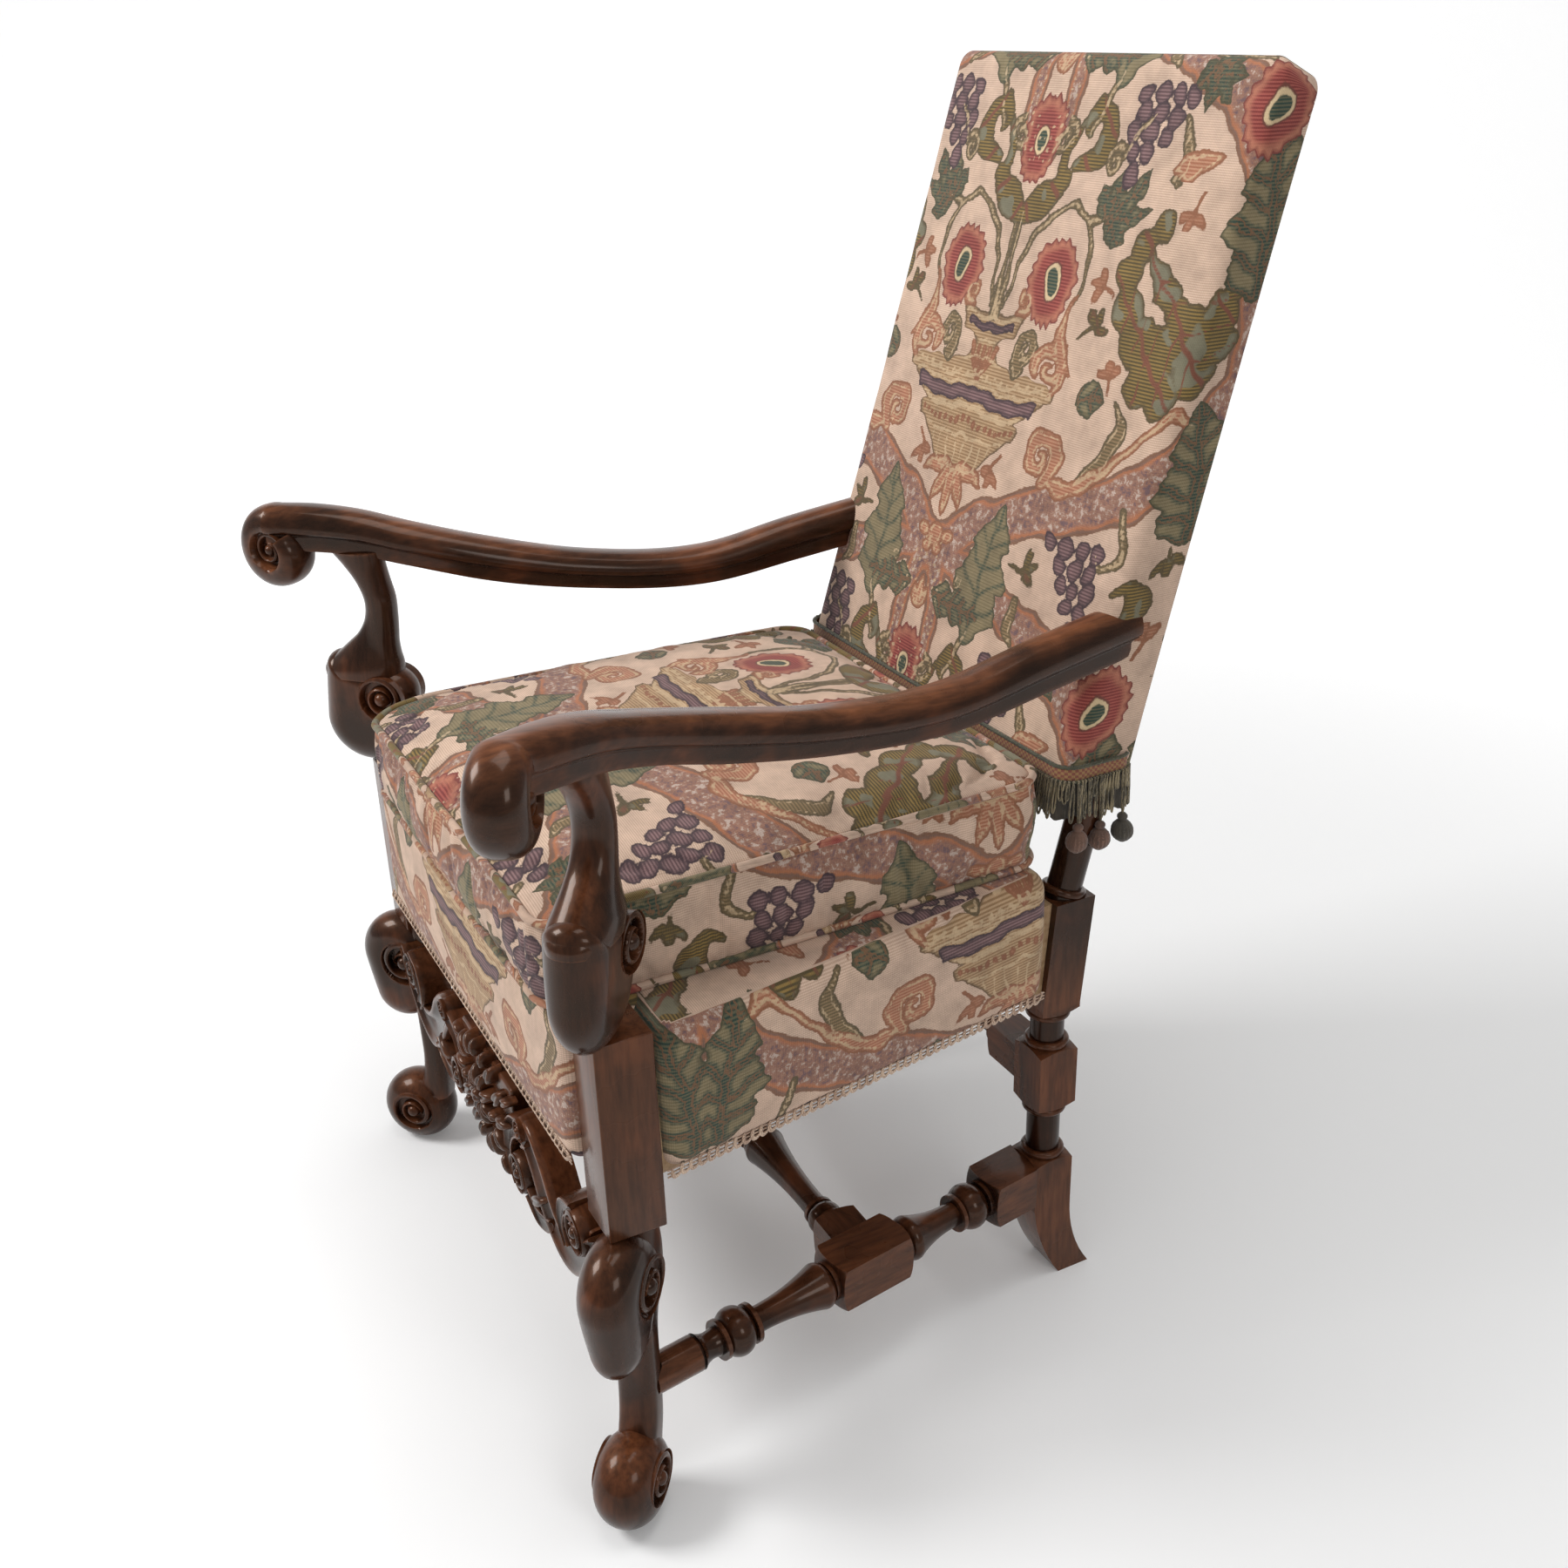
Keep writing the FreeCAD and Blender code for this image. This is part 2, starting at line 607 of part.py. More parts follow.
def front_disc(u, v, radius, proud):
    """A disc that stands proud of the carving's front face and runs to its rear face."""
    depth = number(k.carving_depth + proud)
    base = V(number(u), number(v), -number(carving_half))
    return Part.makeCylinder(number(radius), depth, base)


def carving_solid():
    swell = k.carving_depth / 5
    half = [
        (0, k.carving_bottom), (k.inner_volute_reach, k.inner_volute_height - k.inner_volute_radius),
        (k.knot_reach, k.knot_height), (k.toe_reach, k.toe_height),
        (k.end_foot_reach, k.end_foot_height), (k.end_lug_reach, k.end_volute_height - k.end_lug_half),
        (k.end_lug_reach, k.end_volute_height + k.end_lug_half), (k.end_volute_reach, k.end_volute_height),
        (k.dip_reach, k.dip_height), (k.crest_reach + k.crest_radius, k.crest_height - k.crest_radius),
        (k.crest_reach - k.crest_radius, k.crest_height - k.crest_radius), (0, k.carving_top),
    ]
    rises = [-swell, -swell, swell, swell, 0, 0, 0, -swell, swell * 2, 0, 0]
    points = [(u, v, rise) for (u, v), rise in zip(half, rises)]
    mirrored_half = list(reversed(half))
    mirrored_rises = list(reversed(rises))
    for (u, v), rise in zip(mirrored_half[:-1], mirrored_rises):
        points.append((-u, v, rise))
    board = slab(points, carving_half)
    solids = [board]
    for side in (-1, 1):
        for u, v, radius in (
                (k.end_volute_reach, k.end_volute_height, k.end_volute_radius),
                (k.inner_volute_reach, k.inner_volute_height, k.inner_volute_radius)):
            solids.append(front_disc(u * side, v, radius, k.volute_proud))
            solids.append(front_disc(u * side, v, k.volute_eye_radius, k.volute_eye_proud))
        solids.append(front_disc(k.crest_reach * side, k.crest_height - k.crest_radius,
                                 k.crest_radius, k.volute_proud))
    for index in range(6):
        turn = math.radians(60 * index + 30)
        solids.append(front_disc(k.petal_ring * math.cos(turn),
                                 k.flower_height + k.petal_ring * math.sin(turn),
                                 k.petal_radius, k.petal_proud))
    solids.append(front_disc(0, k.flower_height, k.flower_eye_radius, k.flower_eye_proud))
    return placed(union(solids), carving_place)


# Shapes of the left side before their joints are cut
leg_stock = union([leg_block] + [placed(piece, diagonal)
                                 for piece in knee_skin() + [leg_core(), leg_neck()] + leg_foot()])
post_stock = post_solid()
arm_stock = union([arm_loft()] + arm_roll())
far = k.back_top * 2
behind_stile = prism_yz([
    (stile_front(k.back_bottom), k.back_bottom, 0), (far, k.back_bottom, 0),
    (far, k.stile_top, 0), (stile_front(k.stile_top), k.stile_top, 0),
], 0, k.front_width)
arm_stock = largest(arm_stock.cut(behind_stile))
above_block = block_between((0, -k.front_width, k.block_top),
                            (k.front_width, k.front_width, k.back_top))
support_stock = union([placed(piece, diagonal) for piece in support_bulb() + [support_stem()]])
support_stock = largest(support_stock.common(above_block).cut(arm_stock))
carving_stock = largest(carving_solid().cut(leg_stock).cut(mirror_shape(leg_stock)))


# Turned bars: a sketched profile revolved about X, then squared by the stock it is turned from
def lathe(name, stations):
    """Each station is (run from the last one, radius, rise of the arc that leads to it)."""
    sketch = doc.addObject("Sketcher::SketchObject", f"{name}_profile")
    at = as_size(0)
    corners = []
    for run, radius, rise in stations:
        at = at + run
        corners.append((at, as_size(radius), as_size(rise)))
    count = len(corners)
    points = [V(float(along), float(radius), 0) for along, radius, _ in corners]
    ends = [V(points[0].x, 0, 0), V(points[-1].x, 0, 0)]
    ring = [ends[0]] + points + [ends[1]]
    for index in range(len(ring)):
        start, end = ring[index], ring[(index + 1) % len(ring)]
        rise = float(corners[index][2]) if 0 < index < count else 0
        if rise:
            sketch.addGeometry(arc(start, end, rise))
        else:
            sketch.addGeometry(Part.LineSegment(start, end))

    def vertex(geometry, point):
        return 1 if sketch.getPoint(geometry, 1).distanceToPoint(point) < number(k.fit_clearance) / 9 else 2

    total = len(ring)
    for index in range(total):
        after = (index + 1) % total
        shared = ring[after]
        sketch.addConstraint(Sketcher.Constraint("Coincident", index, vertex(index, shared),
                                                 after, vertex(after, shared)))
    for index, (along, radius, rise) in enumerate(corners, start=1):
        spot = vertex(index, points[index - 1])
        high = sketch.addConstraint(Sketcher.Constraint("DistanceY", -1, 1, index, spot, float(radius)))
        sketch.setExpression(f"Constraints[{high}]", radius.text)
        if float(along):
            far_along = sketch.addConstraint(
                Sketcher.Constraint("DistanceX", -1, 1, index, spot, float(along)))
            sketch.setExpression(f"Constraints[{far_along}]", along.text)
        else:
            sketch.addConstraint(Sketcher.Constraint("PointOnObject", index, spot, -2))
        if index > 1 and float(corners[index - 1][2]):
            before, before_radius, _ = corners[index - 2]
            run = along - before
            step = radius - before_radius
            bend = corners[index - 1][2]
            bend = bend if float(bend) > 0 else -bend
            size = ((run * run + step * step) / 4 + bend * bend) / (bend * 2)
            bow = sketch.addConstraint(Sketcher.Constraint("Radius", index - 1, float(size)))
            sketch.setExpression(f"Constraints[{bow}]", size.text)
    for geometry, point in ((0, ends[0]), (total - 2, ends[1])):
        sketch.addConstraint(Sketcher.Constraint("PointOnObject", geometry, vertex(geometry, point), -1))
    for geometry in (0, total - 2):
        sketch.addConstraint(Sketcher.Constraint("Vertical", geometry))
    bar = doc.addObject("Part::Revolution", f"{name}_turned")
    bar.Source = sketch
    bar.Axis = (1, 0, 0)
    bar.Base = (0, 0, 0)
    bar.Angle = 360
    bar.Solid = True
    return bar


side_run_x = k.rear_width / 2 - k.post_side / 2 - leg_x - k.neck_shift
side_run_y = k.rear_leg_setback - leg_y + k.neck_shift
corner_radius = k.stretcher_side * 3 / 4
neck = k.vase_neck_radius
ring = k.ring_radius
toe = k.vase_toe_radius
side_stations = [
    (k.stub_start, k.stub_radius, 0), (k.stub_length, k.stub_radius, 0),
    (0, k.stub_radius - k.groove_depth, 0), (k.groove_width, k.stub_radius - k.groove_depth, 0),
    (0, k.stub_radius, 0), (k.cove_length, k.cove_radius, -k.groove_depth),
    (k.groove_width, k.cove_radius, 0), (0, ring, 0), (k.ring_width, ring, 0),
    (0, neck, 0), (k.ball_length, neck, k.ball_radius - neck),
    (0, ring, 0), (k.ring_width, ring, 0), (0, neck, 0),
    (k.vase_length, k.vase_belly_radius, -k.groove_width),
    (k.vase_toe, k.vase_toe_radius, k.groove_width), (0, ring, 0), (k.ring_width, ring, 0),
    (0, k.block_end_radius, 0), (k.block_shoulder, corner_radius, k.groove_depth / 2),
    (k.centre_block_length - k.block_shoulder * 2, corner_radius, 0),
    (k.block_shoulder, k.block_end_radius, k.groove_depth / 2), (0, ring, 0),
    (k.ring_width, ring, 0), (0, toe, 0), (k.vase_toe, k.vase_belly_radius, k.groove_width),
    (k.short_vase_length, neck, -k.groove_width), (0, ring, 0), (k.ring_width, ring, 0),
    (0, neck, 0), (k.ball_length, neck, k.ball_radius - neck), (0, ring, 0),
    (k.ring_width, ring, 0), (0, k.block_end_radius, 0),
    (k.block_shoulder, corner_radius, k.groove_depth / 2), (k.overrun * 2, corner_radius, 0),
]


def place_side(obj):
    """Lays a bar made along X between the neck of the front leg and the rear post."""
    place(obj, leg_x + k.neck_shift, leg_y - k.neck_shift, k.stretcher_height)
    obj.Placement.Rotation = FreeCAD.Rotation(V(0, 0, 1), 90)
    obj.setExpression("Placement.Rotation.Angle", f"atan2({side_run_y.text}; {side_run_x.text})")
    return obj


side_turned = lathe("side", side_stations)
side_stock_box = doc.addObject("Part::Box", "side_stock")
bind(side_stock_box, Length=k.rear_leg_setback + k.overrun, Width=k.stretcher_side,
     Height=k.stretcher_side, Placement_Base_y=-k.stretcher_side / 2,
     Placement_Base_z=-k.stretcher_side / 2)
side_bar = doc.addObject("Part::Common", "side_bar")
side_bar.Base = side_stock_box
side_bar.Tool = side_turned
place_side(side_bar)


# Rails of the seat and the stretchers, fitted between the legs and posts
block_inner = leg_x - k.front_block / 2
rail_height = k.rail_top - k.rail_bottom
tenon_low = k.rail_bottom + k.tenon_shoulder
tenon_height = rail_height - k.tenon_shoulder * 2
half_tenon = k.tenon_thickness / 2
front_mid = k.rail_setback + k.rail_thickness / 2
rear_mid = post_front + front_mid
side_front_x = k.front_width / 2 - k.rail_setback
side_rear_x = k.rear_width / 2 - k.rail_setback
side_slope = (side_front_x - side_rear_x) / (post_front - k.front_block)


def side_outer(setback):
    """Outer face of the left side rail at a setback."""
    return side_front_x - side_slope * (setback - k.front_block)


def side_tenon(name, setback, length):
    middle = side_outer(setback) - k.rail_thickness / 2
    return box(name, middle - half_tenon, setback, tenon_low, k.tenon_thickness, length,
               tenon_height)


leg_shape = feature_stock("leg_stock", leg_stock)
post_shape = feature_stock("post_stock", post_stock)
leg_mirror = mirror_stock("leg_mirror", leg_shape)
post_mirror = mirror_stock("post_mirror", post_shape)

keep(fuse("front_rail_fused", [
    box("front_board", -block_inner, k.rail_setback, k.rail_bottom, block_inner * 2,
        k.rail_thickness, rail_height),
    box("front_tenons", -block_inner - k.tenon_length, front_mid - half_tenon, tenon_low,
        (block_inner + k.tenon_length) * 2, k.tenon_thickness, tenon_height),
]), "front_rail")
keep(fuse("rear_rail_fused", [
    box("rear_board", -post_inner, post_front + k.rail_setback, k.rail_bottom, post_inner * 2,
        k.rail_thickness, rail_height),
    box("rear_tenons", -post_inner - k.peg_tenon, rear_mid - half_tenon, tenon_low,
        (post_inner + k.peg_tenon) * 2, k.tenon_thickness, tenon_height),
]), "rear_rail")

wedge = doc.addObject("Part::Wedge", "side_board")
rail_end = post_front + k.rail_thickness
bind(wedge, Xmin=side_front_x - k.rail_thickness, Xmax=side_front_x,
     Ymin=k.front_block, Ymax=rail_end, Zmin=k.rail_bottom, Zmax=k.rail_top,
     X2min=side_outer(rail_end) - k.rail_thickness, X2max=side_outer(rail_end),
     Z2min=k.rail_bottom, Z2max=k.rail_top)
place(wedge, 0, 0, 0)
side_rail = fuse("side_rail_fused", [
    cut("side_board_scribed", wedge, post_shape),
    side_tenon("side_front_tenon", k.front_block - k.tenon_length, k.tenon_length * 2),
    side_tenon("side_rear_tenon", post_front - k.tenon_length, k.tenon_length * 2),
])
keep(side_rail, "side_rail_left")
mirrored("side_rail_right", side_rail)

# Side stretchers with a round pin at each end, and sockets for the cross stretcher


def pin_along_bar(name, start, length):
    """A round pin about a bar's own axis, from start."""
    rod = doc.addObject("Part::Cylinder", name)
    rod.Placement.Rotation = FreeCAD.Rotation(V(0, 1, 0), 90)
    bind(rod, Radius=k.pin_radius, Height=length, Placement_Base_x=start)
    return rod


side_scribed = cut("side_scribed_rear", cut("side_scribed_front", side_bar, leg_shape), box(
    "post_face", 0, post_front, 0, k.front_width, k.rear_leg_setback, k.block_bottom))
side_length = (side_run_x * side_run_x + side_run_y * side_run_y).root()
side_pins = fuse("side_pins", [
    pin_along_bar("side_front_pin", k.neck_shift, k.pin_length * 3),
    pin_along_bar("side_rear_pin", side_length - k.rear_pin_length, k.rear_pin_length * 2),
])
place_side(side_pins)
side_whole = fuse("side_whole", [side_scribed, side_pins])
cross_socket = doc.addObject("Part::Cylinder", "cross_socket")
cross_socket.Placement.Rotation = FreeCAD.Rotation(V(0, 1, 0), 90)
bind(cross_socket, Radius=k.pin_radius + k.fit_clearance,
     Height=(k.cross_reach + k.pin_length) * 2 + k.fit_clearance * 2)
place(cross_socket, -k.cross_reach - k.pin_length - k.fit_clearance, k.cross_setback,
      k.stretcher_height)
side_stretcher = keep(cut("side_socketed", side_whole, cross_socket), "side_stretcher_left")
mirrored("side_stretcher_right", side_stretcher)


def symmetric(half, total, ball_radius):
    """Stations of a bar that is the same both ways from a ball at its middle."""
    back = []
    for index in range(len(half) - 1, 0, -1):
        back.append((half[index][0], half[index - 1][1], half[index][2]))
    ends = sum((as_size(run) for run, _, _ in half), as_size(0))
    return half + [(total - ends * 2, half[-1][1], ball_radius - half[-1][1])] + back


cross_corner = k.cross_side * 3 / 4
cross_half = [
    (0, cross_corner, 0), (k.cross_end_length, cross_corner, 0),
    (k.block_shoulder, toe, k.groove_depth / 2), (0, ring, 0), (k.ring_width, ring, 0),
    (0, neck, 0), (k.cross_bulb_length, neck, k.cross_bulb_radius - neck),
    (0, toe, 0), (k.ring_width, toe, 0), (0, neck, 0), (k.groove_width, neck, 0),
    (k.cross_vase_length, k.cross_ball_radius, -k.groove_width),
    (k.vase_toe, toe, k.groove_width), (0, ring, 0), (k.ring_width, ring, 0), (0, neck, 0),
    (k.cross_gap, neck, 0), (0, ring, 0), (k.ring_width, ring, 0), (0, neck, 0),
]
cross_run = k.cross_reach * 2
cross_stations = symmetric(cross_half, cross_run, k.cross_ball_radius)
rear_corner = k.rear_stretcher_side * 3 / 4
rear_half = [
    (0, rear_corner, 0), (k.rear_end_length, rear_corner, 0),
    (k.block_shoulder, k.rear_ring_radius, k.groove_depth / 2), (0, k.rear_neck_radius, 0),
    (k.groove_width, k.rear_neck_radius, 0), (0, k.rear_ring_radius, 0),
    (k.ring_width, k.rear_ring_radius, 0), (0, k.rear_neck_radius, 0),
    (k.rear_vase_length, k.rear_belly_radius, -k.groove_width),
    (k.vase_toe, k.rear_neck_radius, k.groove_width), (0, k.rear_ring_radius, 0),
    (k.ring_width, k.rear_ring_radius, 0), (0, k.rear_neck_radius, 0),
]
rear_run = post_inner * 2
rear_stations = symmetric(rear_half, rear_run, k.rear_ball_radius)


def straight_bar(name, stations, run, side, setback, height):
    stock = doc.addObject("Part::Box", f"{name}_stock")
    bind(stock, Length=run, Width=side, Height=side, Placement_Base_y=-side / 2,
         Placement_Base_z=-side / 2)
    bar = doc.addObject("Part::Common", f"{name}_bar")
    bar.Base = stock
    bar.Tool = lathe(name, stations)
    return place(bar, -run / 2, setback, height)


def cross_rod(name, reach, setback, height):
    rod = doc.addObject("Part::Cylinder", name)
    rod.Placement.Rotation = FreeCAD.Rotation(V(0, 1, 0), 90)
    bind(rod, Radius=k.pin_radius, Height=reach * 2)
    return place(rod, -reach, setback, height)


side_mirror = mirror_stock("side_mirror", side_bar)
cross_bar = straight_bar("cross", cross_stations, cross_run, k.cross_side, k.cross_setback,
                         k.stretcher_height)
cross_scribed = cut("cross_scribed_right", cut("cross_scribed_left", cross_bar, side_bar), side_mirror)
keep(fuse("cross_fused", [
    cross_scribed,
    cross_rod("cross_pins", k.cross_reach + k.pin_length, k.cross_setback, k.stretcher_height),
]), "cross_stretcher")
keep(fuse("rear_stretcher_fused", [
    straight_bar("rear", rear_stations, rear_run, k.rear_stretcher_side, post_y,
                 k.rear_stretcher_height),
    cross_rod("rear_pins", rear_run / 2 + k.rear_pin_length, post_y, k.rear_stretcher_height),
]), "rear_stretcher")


# Corner blocks behind the rails, each held by two screws driven into the leg or post
def corner_block(points, shape_in_the_way):
    low = k.rail_bottom + k.corner_block_drop
    block = prism_xy(points, low, low + k.corner_block_height)
    return largest(block.cut(shape_in_the_way))


front_inner = k.rail_setback + k.rail_thickness
rear_face = post_front + k.rail_setback
side_inner_front = side_outer(k.front_block) - k.rail_thickness
front_corner = corner_block([
    (block_inner - k.block_leg, front_inner), (block_inner, front_inner),
    (block_inner, k.front_block), (side_inner_front, k.front_block),
    (side_outer(k.front_block + k.block_leg) - k.rail_thickness, k.front_block + k.block_leg),
], leg_stock)
rear_corner_block = corner_block([
    (post_inner - k.block_leg, rear_face),
    (side_outer(post_front - k.block_leg) - k.rail_thickness, post_front - k.block_leg),
    (side_outer(rear_face) - k.rail_thickness, rear_face),
], post_stock)


def screw(start, end, height, grow=0):
    """A countersunk-flush screw from a block's long face towards the corner behind it."""
    start = V(number(start[0]), number(start[1]), number(height))
    end = V(number(end[0]), number(end[1]), number(height))
    head = pin(start, end - start, k.screw_head_radius, k.screw_head_height, grow)
    shank = pin(start, end - start, k.screw_radius, k.screw_length, grow)
    return head.fuse(shank).removeSplitter()


def middle_of(first, second):
    return ((first[0] + second[0]) / 2, (first[1] + second[1]) / 2)


front_hinge = middle_of(
    (block_inner - k.block_leg, front_inner),
    (side_outer(k.front_block + k.block_leg) - k.rail_thickness, k.front_block + k.block_leg))
rear_hinge = middle_of(
    (post_inner - k.block_leg, rear_face),
    (side_outer(post_front - k.block_leg) - k.rail_thickness, post_front - k.block_leg))
screw_low = k.rail_bottom + k.corner_block_drop + k.corner_block_height / 4
screw_heights = [screw_low, screw_low + k.corner_block_height / 2]


def screws(grow=0):
    pieces = []
    for height in screw_heights:
        pieces.append(screw(front_hinge, (leg_x, leg_y), height, grow))
        pieces.append(screw(rear_hinge, (post_x, post_y), height, grow))
    return pieces


# Tenons and pins, each made with and without the clearance round it
def support_pin(grow=0):
    reach = number(k.support_pin_reach) / math.sqrt(2)
    start = V(number(leg_x) + reach, number(leg_y) - reach, number(k.block_top + k.pin_length))
    return pin(start, V(0, 0, -1), k.support_pin_radius, k.support_pin_depth + k.pin_length, grow)


def head_spot():
    reach = number(k.head_pin_reach) / math.sqrt(2)
    return V(number(leg_x) + reach, number(leg_y) - reach, number(k.arm_support_height))


def head_pin(grow=0):
    start = head_spot() - V(0, 0, number(k.pin_length))
    return pin(start, V(0, 0, 1), k.head_pin_radius, k.head_pin_depth + k.pin_length, grow)


def arm_peg(grow=0):
    turn = math.radians(number(k.roll_angle)) * ARM_TURN_SHARES[6]
    sideways = V(math.cos(turn), math.sin(turn), 0)
    spot = head_spot()
    spot.z = number(k.peg_height)
    start = spot - sideways * number(k.arm_width)
    return pin(start, sideways, k.peg_radius, k.arm_width * 2, grow)


def arm_tenon(grow=0):
    top = k.arm_tenon_height + k.arm_tenon_depth
    half = k.arm_tenon_width / 2
    low = (k.arm_rear_centre - half, stile_front(top) - k.arm_tenon_length, k.arm_tenon_height)
    high = (k.arm_rear_centre + half, stile_front(top) + k.arm_tenon_length, top)
    return block_between(low, high, grow)


def carving_tenon(grow=0):
    low = (k.end_volute_reach, carving_mid - half_tenon, k.end_volute_height - k.end_lug_half * 3 / 4)
    high = (leg_x, carving_mid + half_tenon, k.end_volute_height + k.end_lug_half * 3 / 4)
    return block_between(low, high, grow)


def side_pins_solid(grow):
    start = V(number(leg_x + k.neck_shift), number(leg_y - k.neck_shift), number(k.stretcher_height))
    along = V(number(side_run_x), number(side_run_y), 0).normalize()
    front = pin(start + along * (number(k.neck_shift) - number(grow)), along, k.pin_radius,
                k.pin_length * 3, grow)
    reach = number(side_length - k.rear_pin_length)
    rear = pin(start + along * reach, along, k.pin_radius, k.rear_pin_length * 2, grow)
    return [front, rear]


def rail_tenons(grow):
    """The tenons of the seat rails at a left leg and post."""
    high = tenon_low + tenon_height
    front = block_between((block_inner, front_mid - half_tenon, tenon_low),
                          (block_inner + k.tenon_length, front_mid + half_tenon, high), grow)
    rear = block_between((post_inner, rear_mid - half_tenon, tenon_low),
                         (post_inner + k.peg_tenon, rear_mid + half_tenon, high), grow)
    sides = []
    for setback in (k.front_block - k.tenon_length, post_front - k.tenon_length):
        middle = side_outer(setback) - k.rail_thickness / 2
        sides.append(block_between((middle - half_tenon, setback, tenon_low),
                                   (middle + half_tenon, setback + k.tenon_length * 2, high), grow))
    return front, rear, sides[0], sides[1]


def rear_stretcher_pin(grow):
    start = V(number(post_inner), number(post_y), number(k.rear_stretcher_height))
    return pin(start, V(1, 0, 0), k.pin_radius, k.rear_pin_length, grow)


def back_rail(bottom, reach, share, grow=0):
    """A rail of the back between the stiles; share is the part of their depth it takes."""
    grow = number(grow)
    top = number(bottom) + number(k.back_rail_height)
    bottom = number(bottom)
    points = []
    for height, side in ((bottom, 0), (bottom, 1), (top, 1), (top, 0)):
        front, rear = number(stile_front(height)), number(stile_rear(height))
        middle = (front + rear) / 2
        half = (rear - front) / 2 * share + grow
        lift = grow if height == top else -grow
        points.append((middle + (half if side else -half), height + lift, 0))
    return prism_yz(points, -number(reach) - grow, number(reach) + grow)


def back_rail_tenon(bottom, grow=0):
    inset = k.back_rail_height / 6
    grow = number(grow)
    low, top = number(bottom + inset), number(bottom + k.back_rail_height - inset)
    points = []
    for height, side in ((low, -1), (low, 1), (top, 1), (top, -1)):
        middle = (number(stile_front(height)) + number(stile_rear(height))) / 2
        lift = grow if height == top else -grow
        points.append((middle + side * (number(half_tenon) + grow), height + lift, 0))
    reach = number(post_inner + k.back_tenon_length) + grow
    return prism_yz(points, -reach, reach)


bottom_rail_low = k.back_bottom
top_rail_low = k.stile_top - k.back_rail_height
gap = k.fit_clearance
front_tenon, rear_tenon, side_tenon_front, side_tenon_rear = rail_tenons(gap)
front_pin, rear_pin = side_pins_solid(gap)


def cut_all(shape, tools):
    return largest(shape.cut(tools))


leg = cut_all(leg_stock, [support_pin(gap), front_tenon, side_tenon_front, carving_tenon(gap),
                          front_pin] + screws(gap))
post = cut_all(post_stock, [rear_tenon, side_tenon_rear, rear_pin, rear_stretcher_pin(gap),
                            arm_tenon(gap), back_rail_tenon(bottom_rail_low, gap),
                            back_rail_tenon(top_rail_low, gap)] + screws(gap))
arm = cut_all(union([arm_stock, largest(arm_tenon().common(union([arm_stock, behind_stile])))]),
              [head_pin(gap), arm_peg(gap)])
support = cut_all(union([support_stock, support_pin(), head_pin()]), [arm_peg(gap)])
peg = largest(arm_peg().common(arm_stock))
carving = union([carving_stock, carving_tenon(), mirror_shape(carving_tenon())])
for label, shape in (("front_leg", leg), ("arm_support", support), ("arm", arm),
                     ("rear_post", post), ("front_corner_block", cut_all(front_corner, screws(gap))),
                     ("rear_corner_block", cut_all(rear_corner_block, screws(gap)))):
    left = feature(f"{label}_left", shape)
    mirrored(f"{label}_right", left)
feature("arm_pegs", Part.makeCompound([peg, mirror_shape(peg)]))
feature("front_stretcher", carving)
left_screws = screws()
feature("corner_block_screws",
        Part.makeCompound(left_screws + [mirror_shape(solid) for solid in left_screws]))
feature("back_bottom_rail", union([back_rail(bottom_rail_low, post_inner, 1),
                                   back_rail_tenon(bottom_rail_low)]))
feature("back_top_rail", union([back_rail(top_rail_low, post_inner, 1),
                                back_rail_tenon(top_rail_low)]))

# Webbing of the seat: strips tacked on the rails' tops, one layer across the other
strips = []
for index in (-1, 0, 1):
    strips.append(box(f"web_long_{index + 2}", k.web_pitch * index - k.web_width / 2,
                      front_inner - k.web_lap, k.rail_top, k.web_width,
                      rear_face - front_inner + k.web_lap * 2, k.web_thickness))
    middle = (front_inner + rear_face) / 2 + k.web_pitch * index
    reach = side_outer(middle) - k.rail_thickness + k.web_lap
    strips.append(box(f"web_across_{index + 2}", -reach, middle - k.web_width / 2,
                      k.rail_top + k.web_thickness, reach * 2, k.web_width, k.web_thickness))
keep(fuse("seat_webbing_fused", strips), "seat_webbing")

# Webbing of the back on the front of the stiles
web = k.web_thickness


def back_strip(low, high, layer, x0, x1):
    points = []
    for height, depth in ((low, layer + 1), (low, layer), (high, layer), (high, layer + 1)):
        points.append((stile_front(height) - web * depth, height, 0))
    return prism_yz(points, x0, x1)


back_strips = []
web_top = k.stile_top - k.web_lap
web_bottom = k.back_bottom + k.web_lap
for index in range(-1, 2):
    back_strips.append(back_strip(web_bottom, web_top, 1, k.web_pitch * index - k.web_width / 2,
                                  k.web_pitch * index + k.web_width / 2))
for index in range(4):
    low = web_bottom + k.web_pitch * (index + 1 / 3)
    back_strips.append(back_strip(low, low + k.web_width, 0, -post_inner - k.web_lap,
                                  post_inner + k.web_lap))
feature("back_webbing", union(back_strips))


# Soft forms: ruled lofts of rounded outlines
def outline_wire(front, rear, front_half, rear_half, corner, bows, height, rear_corner=None):
    """A rounded quadrilateral in plan; bows are how far its front, side and rear swell."""
    front, rear, front_half, rear_half, corner, height = (
        number(size) for size in (front, rear, front_half, rear_half, corner, height))
    rear_corner = corner if rear_corner is None else number(rear_corner)
    front_bow, side_bow, rear_bow = (number(bow) for bow in bows)
    quarter = 1 - math.sqrt(0.5)
    points = [
        (-front_half + corner, front, front_bow), (front_half - corner, front, corner * quarter),
        (front_half, front + corner, side_bow), (rear_half, rear - rear_corner, rear_corner * quarter),
        (rear_half - rear_corner, rear, rear_bow), (-rear_half + rear_corner, rear, rear_corner * quarter),
        (-rear_half, rear - rear_corner, side_bow), (-front_half, front + corner, corner * quarter),
    ]
    wire = edge_loop([(x, y, -rise) for x, y, rise in points])
    wire.translate(V(0, 0, height))
    return wire


def ruled(wires):
    return Part.makeLoft(wires, True, True)


